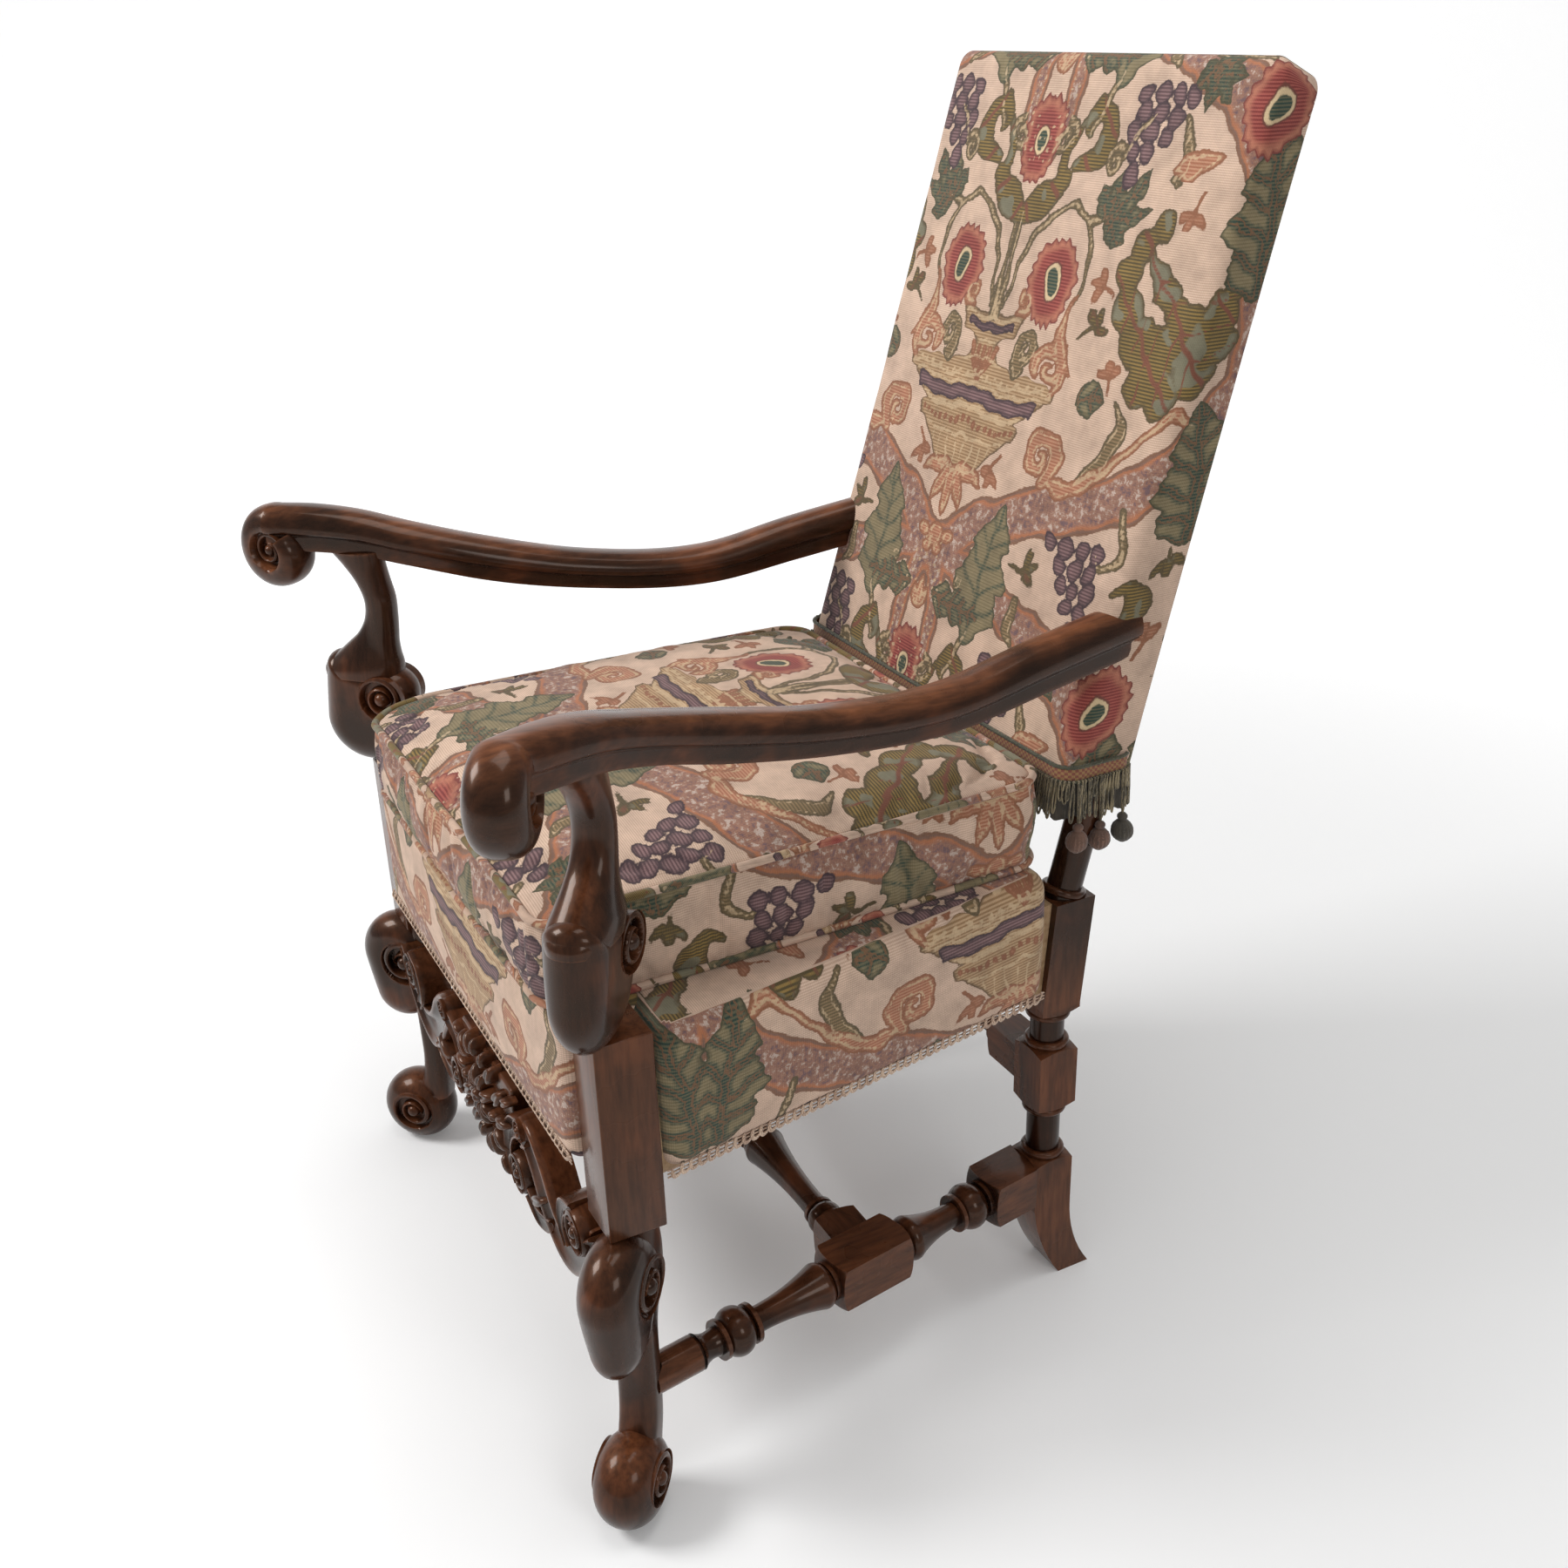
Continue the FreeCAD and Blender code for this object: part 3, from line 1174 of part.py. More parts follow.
# Stuffed seat over the rails, cut away round the blocks, posts and rails
def seat_envelope():
    proud = k.seat_proud
    rise = k.seat_top - k.seat_edge_round
    levels = [
        # height, swell beyond the rails' line, inset at the top edge
        (k.seat_cover_bottom, proud * 5 / 8, 0), (k.seat_cover_bottom + k.gimp_height, proud * 5 / 8, 0),
        (k.rail_bottom + rail_height / 2, proud * 7 / 8, 1), (k.rail_top, proud, 1),
        (rise, proud, 1), (k.seat_top - k.seat_edge_round / 4, proud * 3 / 5, 1),
        (k.seat_top, 0, 1),
    ]
    wires = []
    for height, swell, bow in levels:
        side_bow = k.seat_bulge * bow
        front = k.rail_setback - swell
        front_half = side_outer(front + k.corner_seam) + swell
        rear = rear_face + k.rail_thickness + proud / 4
        rear_half = side_outer(rear - k.corner_seam) + swell
        wires.append(outline_wire(front, rear, front_half, rear_half, k.corner_seam,
                                  (side_bow / 2, side_bow / 2, 0), height))
    return ruled(wires)


rail_rear = rear_face + k.rail_thickness
under_seat = prism_xy([
    (-side_outer(k.rail_setback), k.rail_setback), (side_outer(k.rail_setback), k.rail_setback),
    (side_outer(rail_rear), rail_rear), (-side_outer(rail_rear), rail_rear),
], k.seat_cover_bottom - k.overrun, k.rail_top + k.web_thickness * 2)
soft = k.soft_clearance
front_corner_gap = block_between((k.seat_front_half, -k.front_width, 0),
                                 (k.front_width, k.front_block + soft, k.back_top))
behind_post = prism_yz([
    (post_front - soft, 0, 0), (post_front - soft, k.seat_block_bottom, 0),
    (post_front + k.seat_block_lean - soft, k.seat_block_top, 0),
    (stile_front(k.back_bottom), k.back_bottom, 0), (far, k.back_bottom, 0), (far, 0, 0),
], post_inner - soft, k.front_width)
seat = seat_envelope().cut([
    under_seat, front_corner_gap, mirror_shape(front_corner_gap), behind_post,
    mirror_shape(behind_post), post_stock, mirror_shape(post_stock)])
feature("seat_upholstery", largest(seat))


# Gimp along the lower edge of the seat's cover
gimp_front = k.rail_setback - k.seat_proud * 5 / 8
keep(box("gimp_front", -k.seat_front_half, gimp_front - k.gimp_thickness, k.seat_cover_bottom,
         k.seat_front_half * 2, k.gimp_thickness, k.gimp_height), "seat_gimp_front")
gimp = doc.addObject("Part::Wedge", "gimp_side")
side_proud = k.seat_proud * 5 / 8
gimp_start = k.front_block + k.soft_clearance
gimp_end = post_front - k.soft_clearance
bind(gimp, Xmin=side_outer(gimp_start) + side_proud,
     Xmax=side_outer(gimp_start) + side_proud + k.gimp_thickness,
     Ymin=gimp_start, Ymax=gimp_end, Zmin=k.seat_cover_bottom,
     Zmax=k.seat_cover_bottom + k.gimp_height, X2min=side_outer(gimp_end) + side_proud,
     X2max=side_outer(gimp_end) + side_proud + k.gimp_thickness,
     Z2min=k.seat_cover_bottom, Z2max=k.seat_cover_bottom + k.gimp_height)
keep(place(gimp, 0, 0, 0), "seat_gimp_left")
mirrored("seat_gimp_right", gimp)


# Loose box cushion: a cover round its filling
def cushion_form(inset):
    inset = number(inset)
    bottom = k.cushion_bottom + inset
    edge = k.cushion_bottom + k.cushion_edge - inset
    draw = k.cushion_draw
    levels = [
        (bottom, draw, 0), (bottom + draw, 0, 1), (bottom + k.cushion_edge / 2, draw / 3, 1),
        (edge - draw, 0, 1), (edge, draw / 2, 1), (edge + k.cushion_crown / 3, draw * 5, 1),
        (edge + k.cushion_crown * 2 / 3, draw * 12, 1), (edge + k.cushion_crown * 9 / 10, draw * 18, 1),
        (edge + k.cushion_crown, draw * 24, 1),
    ]
    wires = []
    for height, draw_in, bow in levels:
        step = draw_in + inset
        wires.append(outline_wire(
            -k.cushion_front + step, k.cushion_back_setback - step, k.cushion_front_half - step,
            k.cushion_rear_half - step, k.cushion_corner - inset,
            (k.cushion_bow * bow, k.cushion_bow * bow / 2, k.cushion_bow * bow / 2), height))
    return ruled(wires)


cushion_outer = cushion_form(0)
cushion_inner = cushion_form(k.ticking)
feature("cushion_cover", cushion_outer.cut(cushion_inner))
feature("cushion_filling", cushion_inner)


# Stuffed back: sections square to its rake, trimmed level at the foot
def back_front(height):
    share = (height - k.back_bottom) / (k.back_top - k.back_bottom)
    return k.back_front + (k.back_top_front - k.back_front) * share


def back_rear(height):
    return stile_rear(height) + k.outside_cloth


def back_envelope(grow=0):
    grow = number(grow)
    lean = math.atan(number(rake))
    depth_corner = number(k.back_corner)
    wires = []
    low = number(k.back_bottom) - number(k.overrun)
    high = number(k.back_top)
    spans = [(low, 0, k.foot_crown), (number(k.back_bottom) + number(k.overrun), 0, k.foot_crown),
             (number(k.back_bottom) + number(k.overrun) * 4, 0, k.back_crown)]
    for turn in (0, 30, 60, 90):
        angle = math.radians(turn)
        spans.append((high - depth_corner * (1 - math.sin(angle)),
                      depth_corner * (1 - math.cos(angle)), k.back_crown))
    for height, inset, crown in spans:
        front = number(back_front(height))
        # the section is square to the rake, so its rear edge is lower than its front one
        rear_height = height
        for _ in range(8):
            rear_height = height - (number(back_rear(rear_height)) - front) * math.tan(lean)
        depth = (number(back_rear(rear_height)) - front) / math.cos(lean)
        half = number(k.back_half_width) - inset + grow
        wire = outline_wire(inset - grow, depth - inset / 4 + grow, half, half,
                            number(k.back_corner) + grow, (number(crown), 0, 0), 0,
                            number(k.back_corner) / 4 + grow)
        tilt = FreeCAD.Rotation(V(1, 0, 0), -math.degrees(lean))
        wire.Placement = FreeCAD.Placement(V(0, front, height), tilt).multiply(wire.Placement)
        wires.append(wire)
    return ruled(wires)


level = block_between((-k.front_width, 0, 0), (k.front_width, far, k.back_bottom))
envelope = back_envelope().cut(level)
skin = k.web_thickness * 2
frame_half = post_inner + k.stile_width
hollow = prism_yz([
    (stile_front(k.back_bottom - k.overrun) - skin, k.back_bottom - k.overrun, 0),
    (far, k.back_bottom - k.overrun, 0), (far, k.stile_top, 0),
    (stile_front(k.stile_top) - skin, k.stile_top, 0),
], -frame_half, frame_half)
arm_gap = arm_loft(soft)
back_solid = largest(envelope.cut([hollow, arm_gap, mirror_shape(arm_gap)]))
feature("back_upholstery", back_solid)
outside = prism_yz([
    (stile_rear(k.back_bottom), k.back_bottom, 0), (back_rear(k.back_bottom), k.back_bottom, 0),
    (back_rear(k.stile_top), k.stile_top, 0), (stile_rear(k.stile_top), k.stile_top, 0),
], -frame_half, frame_half)
feature("back_outside_cover", outside)


# Trimming round the foot of the back
def foot_ring(inner, outer, low, high):
    """A band round the back's foot between two distances out from its faces."""
    rings = []
    for grow, start, end in ((outer, low, high), (inner, low - k.overrun, high + k.overrun)):
        grow = number(grow)
        foot = number(k.back_bottom)
        wire = outline_wire(number(back_front(foot)) - grow,
                            number(back_rear(foot)) + grow + number(k.braid_height * rake),
                            number(k.back_half_width) + grow, number(k.back_half_width) + grow,
                            number(k.back_corner) + grow, (number(k.foot_crown), 0, 0), 0,
                            number(k.back_corner) / 4 + grow)
        face = Part.Face(wire)
        face.translate(V(0, 0, number(start)))
        rings.append(face.extrude(V(0, 0, number(end - start))))
    return rings[0].cut(rings[1])


clear_of_post = turning([
    (-k.overrun, k.turning_radius + soft, 0),
    (k.upper_turning_length + k.overrun, k.turning_radius + soft, 0),
], V(number(post_x), number(post_y + k.seat_block_lean), number(k.seat_block_top)),
    V(0, number(rake), 1).normalize())
braid_band = block_between((-k.front_width, 0, k.back_bottom),
                           (k.front_width, far, k.back_bottom + k.braid_height))
braid = back_envelope(k.braid_thickness).common(braid_band).cut(back_envelope())
feature("back_braid", largest(braid))
fringe = foot_ring(k.braid_thickness, k.braid_thickness + k.fringe_thickness, k.fringe_bottom,
                   k.fringe_top)
fringe = largest(fringe.cut([clear_of_post, mirror_shape(clear_of_post), braid]))
feature("back_fringe", fringe)

tassels = []
out = k.braid_thickness + k.fringe_thickness / 2
tassel_rows = []
for index in range(-4, 5):
    bow = 1 - (index / 5) ** 2
    front_line = back_front(k.back_bottom) - out - k.foot_crown * bow
    rear_line = back_rear(k.back_bottom) + out + k.braid_height * rake
    tassel_rows.append((k.tassel_pitch * index, front_line))
    tassel_rows.append((k.tassel_pitch * index, rear_line))
for side in (-1, 1):
    tassel_rows.append((side * (k.back_half_width + out), back_front(k.back_bottom) + k.back_corner))
    tassel_rows.append((side * (k.back_half_width + out), back_rear(k.back_bottom) - k.back_corner))
neck_radius = k.tassel_neck_radius
for x, y in tassel_rows:
    knot = k.tassel_ball
    tassels.append(turning([
        (-k.tassel_length, k.tassel_radius, 0), (-knot * 3, neck_radius * 3 / 2, 0),
        (-knot * 5 / 2, neck_radius, knot - neck_radius), (-knot / 2, neck_radius, 0),
        (0, neck_radius, 0),
    ], V(number(x), number(y), number(k.fringe_bottom)), V(0, 0, 1)))
feature("back_tassels", Part.makeCompound(tassels))

doc.recompute()
failed = [obj.Name for obj in doc.Objects if {"Invalid", "Error"} & set(obj.State)]
if failed:
    raise RuntimeError(f"features failed: {failed}")
for node in nodes:
    if node.Shape.isNull() or not node.Shape.isValid():
        raise RuntimeError(f"{node.Label} has no valid shape")
for node in nodes:
    node.Shape.exportStep(f"parts/{node.Label}.step")
print(len(nodes), "parts written")
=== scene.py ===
import math

import bmesh
import bpy
import numpy as np
from mathutils import Matrix, Vector


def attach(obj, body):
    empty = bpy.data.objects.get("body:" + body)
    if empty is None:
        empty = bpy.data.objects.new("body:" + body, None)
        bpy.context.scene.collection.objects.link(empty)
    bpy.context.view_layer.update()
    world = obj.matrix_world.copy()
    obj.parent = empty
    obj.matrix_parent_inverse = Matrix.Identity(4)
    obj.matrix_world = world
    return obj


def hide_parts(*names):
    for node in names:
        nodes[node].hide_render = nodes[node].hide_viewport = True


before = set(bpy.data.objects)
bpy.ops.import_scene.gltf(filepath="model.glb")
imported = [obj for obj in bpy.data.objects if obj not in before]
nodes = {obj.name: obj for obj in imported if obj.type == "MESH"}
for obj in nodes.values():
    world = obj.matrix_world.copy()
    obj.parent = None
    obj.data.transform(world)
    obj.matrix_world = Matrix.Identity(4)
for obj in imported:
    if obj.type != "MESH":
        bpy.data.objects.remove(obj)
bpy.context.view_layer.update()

scene = bpy.context.scene
MM = 0.001
# The part's origin lies this far behind the front face of the front legs.
SETBACK = 305.0
ORIGIN = np.array([0.0, SETBACK, 0.0])
UPWARD = np.array([0.0, 0.0, 1.0])


# Mesh helpers
def link(name, data):
    thing = bpy.data.objects.new(name, data)
    scene.collection.objects.link(thing)
    return thing


def place(points):
    """Chair-frame millimetres to scene metres."""
    return (np.asarray(points, dtype=float) - ORIGIN) * MM


def finished(name, mesh, material, smooth=True):
    """An object of a mesh, with its material and shading."""
    mesh.polygons.foreach_set("use_smooth", [smooth] * len(mesh.polygons))
    mesh.materials.append(material)
    return link(name, mesh)


def make(name, points, faces, material, smooth=True, outward=True):
    """An object of chair-frame points, its faces turned outward if asked."""
    mesh = bpy.data.meshes.new(name)
    mesh.from_pydata([tuple(p) for p in place(points)], [], [tuple(f) for f in faces])
    mesh.update()
    mesh.validate()
    if outward:
        work = bmesh.new()
        work.from_mesh(mesh)
        bmesh.ops.recalc_face_normals(work, faces=work.faces)
        work.to_mesh(mesh)
        work.free()
    return finished(name, mesh, material, smooth)


def join(name, pieces):
    """Joins objects into one, under a new name."""
    bpy.ops.object.select_all(action="DESELECT")
    for piece in pieces:
        piece.select_set(True)
    bpy.context.view_layer.objects.active = pieces[0]
    bpy.ops.object.join()
    pieces[0].name = name
    pieces[0].data.name = name
    return pieces[0]


def mirror(piece, name):
    """A copy reflected in the plane x = 0."""
    mesh = piece.data.copy()
    mesh.transform(Matrix.Scale(-1, 4, (1, 0, 0)))
    mesh.flip_normals()
    return link(name, mesh)


def sharpen(piece, degrees=38):
    piece.data.set_sharp_from_angle(angle=math.radians(degrees))


def circle(count):
    """Even angles round a full turn."""
    return np.arange(count) * 2 * math.pi / count


def grid_faces(rows, columns, wrap=True, start=0):
    """Quads between rows of points that are listed one row after another."""
    faces = []
    for i in range(rows - 1):
        for j in range(columns if wrap else columns - 1):
            a = start + i * columns + j
            b = start + i * columns + (j + 1) % columns
            faces.append((a, b, b + columns, a + columns))
    return faces


def closed_faces(rows, count):
    """Quads round rings of points, and a face over the first ring and the last."""
    return grid_faces(rows, count) + [tuple(range(count))[::-1],
                                      tuple(range((rows - 1) * count, rows * count))]


def store(piece, **fields):
    """Keeps one value a point for the materials to read."""
    for name, values in fields.items():
        attribute = piece.data.attributes.new("tapestry_" + name, "FLOAT", "POINT")
        attribute.data.foreach_set("value", np.asarray(values, dtype=np.float32).ravel())


def dress(piece, body, node_name=None):
    """Says what carries a piece, and which solid it takes the place of."""
    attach(piece, body)
    if node_name:
        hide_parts(node_name)


# Camera, fitted to the photograph: its axes, and its focal length in pixels of the frame's side
FRAME_SIDE = 1800
FOCAL_LENGTH = 1926.33
SENSOR = 36.0
right = Vector((0.46162513, 0.88656031, -0.03021687))
up = Vector((-0.3626038, 0.21967365, 0.90568315))
back = Vector((0.80958058, -0.40712935, 0.42287701))
camera_data = bpy.data.cameras.new("camera")
camera_data.sensor_width = SENSOR
camera_data.lens = SENSOR * FOCAL_LENGTH / FRAME_SIDE
camera = link("camera", camera_data)
camera.matrix_world = (Matrix.Translation((1.3034, -0.33526 - SETBACK * MM, 1.16618))
                       @ Matrix((right, up, back)).transposed().to_4x4())
scene.camera = camera


# Material helpers
def node_material(name):
    material = bpy.data.materials.new(name)
    material.use_nodes = True
    tree = material.node_tree
    tree.nodes.clear()
    output = tree.nodes.new("ShaderNodeOutputMaterial")
    shader = tree.nodes.new("ShaderNodeBsdfPrincipled")
    tree.links.new(shader.outputs[0], output.inputs[0])
    return material, tree, shader


def feed(tree, value, socket):
    """Sets a socket to a number or colour, or links an output to it."""
    if isinstance(value, (int, float)):
        socket.default_value = value
    elif isinstance(value, tuple):
        socket.default_value = (*value, 1)
    else:
        tree.links.new(value, socket)


def fill_inputs(tree, node, **values):
    for key, value in values.items():
        feed(tree, value, node.inputs[key.replace("_", " ")])


def noise(tree, scale, detail=2.0, roughness=0.5, stretch=(1, 1, 1), kind="Noise", **values):
    """A noise over the object's own space, or another texture of that kind."""
    mapping = tree.nodes.new("ShaderNodeMapping")
    mapping.inputs["Scale"].default_value = stretch
    tree.links.new(tree.nodes.new("ShaderNodeTexCoord").outputs["Object"], mapping.inputs[0])
    node = tree.nodes.new("ShaderNodeTex" + kind)
    fill_inputs(tree, node, Vector=mapping.outputs[0], Scale=scale, Detail=detail, **values)
    if kind == "Noise":
        node.inputs["Roughness"].default_value = roughness
    return node.outputs["Fac"]


def ramp(tree, source, stops):
    """Colours along a value; a plain number stands for a grey."""
    node = tree.nodes.new("ShaderNodeValToRGB")
    elements = node.color_ramp.elements
    while len(elements) < len(stops):
        elements.new(0.5)
    for element, (position, colour) in zip(elements, stops):
        element.position = position
        element.color = (*colour, 1) if isinstance(colour, tuple) else (colour, colour, colour, 1)
    tree.links.new(source, node.inputs[0])
    return node.outputs[0]


def mix(tree, factor, first, second, blend="MIX"):
    node = tree.nodes.new("ShaderNodeMix")
    node.data_type = "RGBA"
    node.blend_type = blend
    for value, index in ((factor, 0), (first, 6), (second, 7)):
        feed(tree, value, node.inputs[index])
    return node.outputs[2]


def maths(tree, operation, first, second=0.0):
    node = tree.nodes.new("ShaderNodeMath")
    node.operation = operation
    feed(tree, first, node.inputs[0])
    feed(tree, second, node.inputs[1])
    return node.outputs[0]


def times(tree, first, second):
    return maths(tree, "MULTIPLY", first, second)


def plus(tree, first, second):
    return maths(tree, "ADD", first, second)


def size_of(tree, value):
    return maths(tree, "ABSOLUTE", value)


def finish_look(tree, shader, colour, relief=None, strength=0.0, distance=0.0, **values):
    """Links a material's colour and relief, and sets its other values."""
    fill_inputs(tree, shader, Base_Color=colour, **values)
    if relief:
        node = tree.nodes.new("ShaderNodeBump")
        fill_inputs(tree, node, Height=relief, Strength=strength, Distance=distance)
        tree.links.new(node.outputs[0], shader.inputs["Normal"])


# Plain materials
def walnut(name, along=(1, 1, 0.12), wear_and_light_amount=0.45):
    """Dark polished walnut, redder and lighter on its proud and upper places, partly from wear and partly as
    painted highlight and painted light from above; its hollows carry painted shade.
    """
    material, tree, shader = node_material(name)
    grain = noise(tree, 190.0, 5.0, 0.6, along)
    patches = noise(tree, 14.0, 3.0, 0.55)
    geometry = tree.nodes.new("ShaderNodeNewGeometry")
    # Proud edges, where the pointiness is high, are lightened as a painted highlight mixed with edge wear.
    proud = ramp(tree, geometry.outputs["Pointiness"], [(0.5, 0), (0.58, 1)])
    # Painted shade: where the pointiness is low, in hollows and recesses, the wood is darkened.
    hollow_shade = ramp(tree, geometry.outputs["Pointiness"], [(0.42, (0.25, 0.22, 0.22)), (0.5, 1)])
    base = ramp(tree, patches, [(0.34, (0.007, 0.0035, 0.0025)), (0.52, (0.021, 0.0074, 0.0039)),
                                (0.68, (0.078, 0.0235, 0.009))])
    streak = ramp(tree, grain, [(0.35, (0.6, 0.56, 0.55)), (0.62, (1.2, 1.17, 1.15))])
    # The colour takes the grain, then the painted shade in the hollows.
    colour = mix(tree, 1.0, mix(tree, 1.0, base, streak, "MULTIPLY"), hollow_shade, "MULTIPLY")
    # Upward faces are made lighter and redder: painted light from above, mixed with patchy wear.
    facing = tree.nodes.new("ShaderNodeSeparateXYZ")
    tree.links.new(geometry.outputs["Normal"], facing.inputs[0])
    light_from_above = ramp(tree, facing.outputs[2], [(0.35, 0), (0.95, 1)])
    patchy = ramp(tree, patches, [(0.3, 0.25), (0.6, 1)])
    wear_and_painted_light = maths(tree, "MAXIMUM", times(tree, times(tree, light_from_above, patchy), wear_and_light_amount), times(tree, proud, 0.55))
    worn_and_lit_colour = mix(tree, 1.0, (0.165, 0.058, 0.024), streak, "MULTIPLY")
    finish_look(tree, shader, mix(tree, wear_and_painted_light, colour, worn_and_lit_colour), grain, 0.06, 0.0004,
                Roughness=ramp(tree, patches, [(0.35, 0.22), (0.7, 0.36)]), Specular_IOR_Level=0.24,
                Specular_Tint=(1.0, 0.62, 0.42), Coat_Weight=0.24, Coat_Roughness=0.1)
    return material


def plain_wood(name):
    material, tree, shader = node_material(name)
    grain = noise(tree, 140.0, 4.0, stretch=(0.15, 1, 1))
    colour = ramp(tree, grain, [(0.35, (0.3, 0.18, 0.09)), (0.65, (0.45, 0.3, 0.17))])
    finish_look(tree, shader, colour, grain, 0.2, 0.0005, Roughness=0.6)
    return material


def cloth(name, dark, light, weave=900.0):
    """A plain woven cloth."""
    material, tree, shader = node_material(name)
    fine = noise(tree, weave)
    both = plus(tree, times(tree, noise(tree, 35.0, 4.0), 0.15), times(tree, fine, 0.85))
    finish_look(tree, shader, ramp(tree, both, [(0.4, dark), (0.6, light)]), fine, 0.4, 0.0008,
                Roughness=0.9, Sheen_Weight=0.2)
    return material


def steel(name):
    material, tree, shader = node_material(name)
    rough = ramp(tree, noise(tree, 400.0), [(0.3, 0.3), (0.7, 0.5)])
    finish_look(tree, shader, (0.3, 0.29, 0.28), Roughness=rough, Metallic=1.0)
    return material


wood_upright = walnut("walnut_upright")
wood_lengthwise = walnut("walnut_lengthwise", (1, 0.12, 1))
wood_arm = walnut("walnut_arm", (1, 0.12, 1), 0.95)
wood_across = walnut("walnut_across", (0.12, 1, 1))
beech = plain_wood("beech")
jute = cloth("jute", (0.2, 0.15, 0.09), (0.42, 0.34, 0.22), 600.0)
linen = cloth("linen", (0.3, 0.24, 0.17), (0.5, 0.42, 0.31))
ticking = cloth("ticking", (0.6, 0.57, 0.5), (0.75, 0.72, 0.64))

# What the solids that stay in sight are made of; a star stands for left and right
CARRIED = {
    wood_upright: ["rear_post_*"],
    wood_lengthwise: ["side_stretcher_*"],
    wood_across: ["cross_stretcher", "rear_stretcher", "arm_pegs"],
    beech: ["front_rail", "rear_rail", "side_rail_*", "front_corner_block_*", "rear_corner_block_*",
            "back_bottom_rail", "back_top_rail"],
    jute: ["back_webbing"],
    steel("screw_metal"): ["corner_block_screws"],
}
for material, names in CARRIED.items():
    for name in names:
        for side in ("left", "right") if "*" in name else ("",):
            for slot in nodes[name.replace("*", side)].material_slots:
                slot.material = material


# Scroll carving, in a plane with axes u and v and the way w out of it
OUTWARD = np.array([math.sqrt(0.5), -math.sqrt(0.5), 0.0])
ACROSS = np.array([-math.sqrt(0.5), -math.sqrt(0.5), 0.0])


def in_plane(u, v, w, origin, axes):
    """Points at u, v, w along three axes from an origin, in the chair frame."""
    return (np.asarray(origin) + np.multiply.outer(u, axes[0]) + np.multiply.outer(v, axes[1])
            + np.multiply.outer(w, axes[2]))


def hull_outline(circles, count=720):
    """Points round the convex hull of circles (u, v, radius)."""
    points = []
    for angle in circle(count):
        normal = np.array([math.cos(angle), math.sin(angle)])
        best = max(circles, key=lambda c: c[0] * normal[0] + c[1] * normal[1] + c[2])
        points.append(np.array(best[:2]) + best[2] * normal)
    return np.array(points)


def segment_distance(points, line, closed=True):
    """Distance from each point to a polyline, and how far along it the nearest spot is."""
    line = np.asarray(line, dtype=float)
    starts = line if closed else line[:-1]
    ends = np.roll(line, -1, axis=0) if closed else line[1:]
    best = np.full(len(points), 1e9)
    where = np.zeros(len(points))
    for index, (a, b) in enumerate(zip(starts, ends)):
        run = b - a
        length = max(run @ run, 1e-12)
        share = np.clip(((points - a) @ run) / length, 0, 1)
        gap = np.hypot(*(points - a - np.outer(share, run)).T)
        closer = gap < best
        best[closer] = gap[closer]
        where[closer] = index + share[closer]
    return best, where


def scroll(name, circles, eye, half, rim, relief, origin, axes, material, rays=144, rings=44):
    """A rolled scroll: a rounded slab over the hull of circles, with relief on each cheek."""
    outline = hull_outline(circles)
    outline = outline[np.r_[True, np.hypot(*np.diff(outline, axis=0).T) > 1e-6]]
    eye = np.array(eye, dtype=float)
    polar = np.unwrap(np.arctan2(*(outline - eye).T[::-1]))
    order = np.argsort(np.mod(polar, 2 * math.pi))
    ring = outline[order]
    ring_angles = np.mod(polar, 2 * math.pi)[order]
    closed = np.vstack([ring[-1:], ring, ring[:1]])
    closed_angles = np.r_[ring_angles[-1] - 2 * math.pi, ring_angles, ring_angles[0] + 2 * math.pi]
    angles = circle(rays)
    reach = []
    for angle in angles:
        spot = np.searchsorted(closed_angles, angle, side="right") - 1
        a, b = closed[spot] - eye, closed[spot + 1] - eye
        ray = np.array([math.cos(angle), math.sin(angle)])
        run = b - a
        across = ray[0] * run[1] - ray[1] * run[0]
        reach.append(float(np.hypot(*a)) if abs(across) < 1e-9 else
                     (a[0] * run[1] - a[1] * run[0]) / across)
    reach = np.array(reach)
    shares = 1 - np.linspace(1, 0, rings + 1)[:-1] ** 1.6
    shares = np.r_[shares[1:], 1.0]
    radius = np.outer(shares, reach)
    theta = np.broadcast_to(angles, radius.shape)
    u = eye[0] + radius * np.cos(theta)
    v = eye[1] + radius * np.sin(theta)
    flat = np.column_stack([u.ravel(), v.ravel()])
    depth, _ = segment_distance(flat, outline[::3])
    depth[-rays:] = 0
    inward = 1 - np.clip(depth / rim, 0, 1)
    height = half * np.sqrt(np.clip(1 - inward ** 2, 0, 1))
    height = height + relief(radius.ravel()) * np.clip(depth / rim * 2, 0, 1)
    centre_height = half + float(relief(np.array([0.0]))[0])
    side = in_plane(u.ravel(), v.ravel(), height, origin, axes)
    other = in_plane(u.ravel()[:-rays], v.ravel()[:-rays], -height[:-rays], origin, axes)
    middles = [in_plane(eye[0], eye[1], sign * centre_height, origin, axes) for sign in (1, -1)]
    points = np.vstack([side, other] + middles)
    rows = len(shares)
    faces = grid_faces(rows, rays)
    base = rows * rays
    for a, b, c, d in grid_faces(rows - 1, rays, start=base):
        faces.append((d, c, b, a))
    last = base + (rows - 2) * rays
    edge = (rows - 1) * rays
    for j in range(rays):
        faces.append((last + j, last + (j + 1) % rays, edge + (j + 1) % rays, edge + j)[::-1])
    top, bottom = len(points) - 2, len(points) - 1
    for j in range(rays):
        faces.append((top, j, (j + 1) % rays))
        faces.append((bottom, base + (j + 1) % rays, base + j))
    return make(name, points, faces, material)


def recess(outer, depth):
    """Relief of a sunk round seat in a cheek, for a volute to stand in."""
    return lambda radius: -depth * np.clip((outer - 1 - radius) / 2, 0, 1)


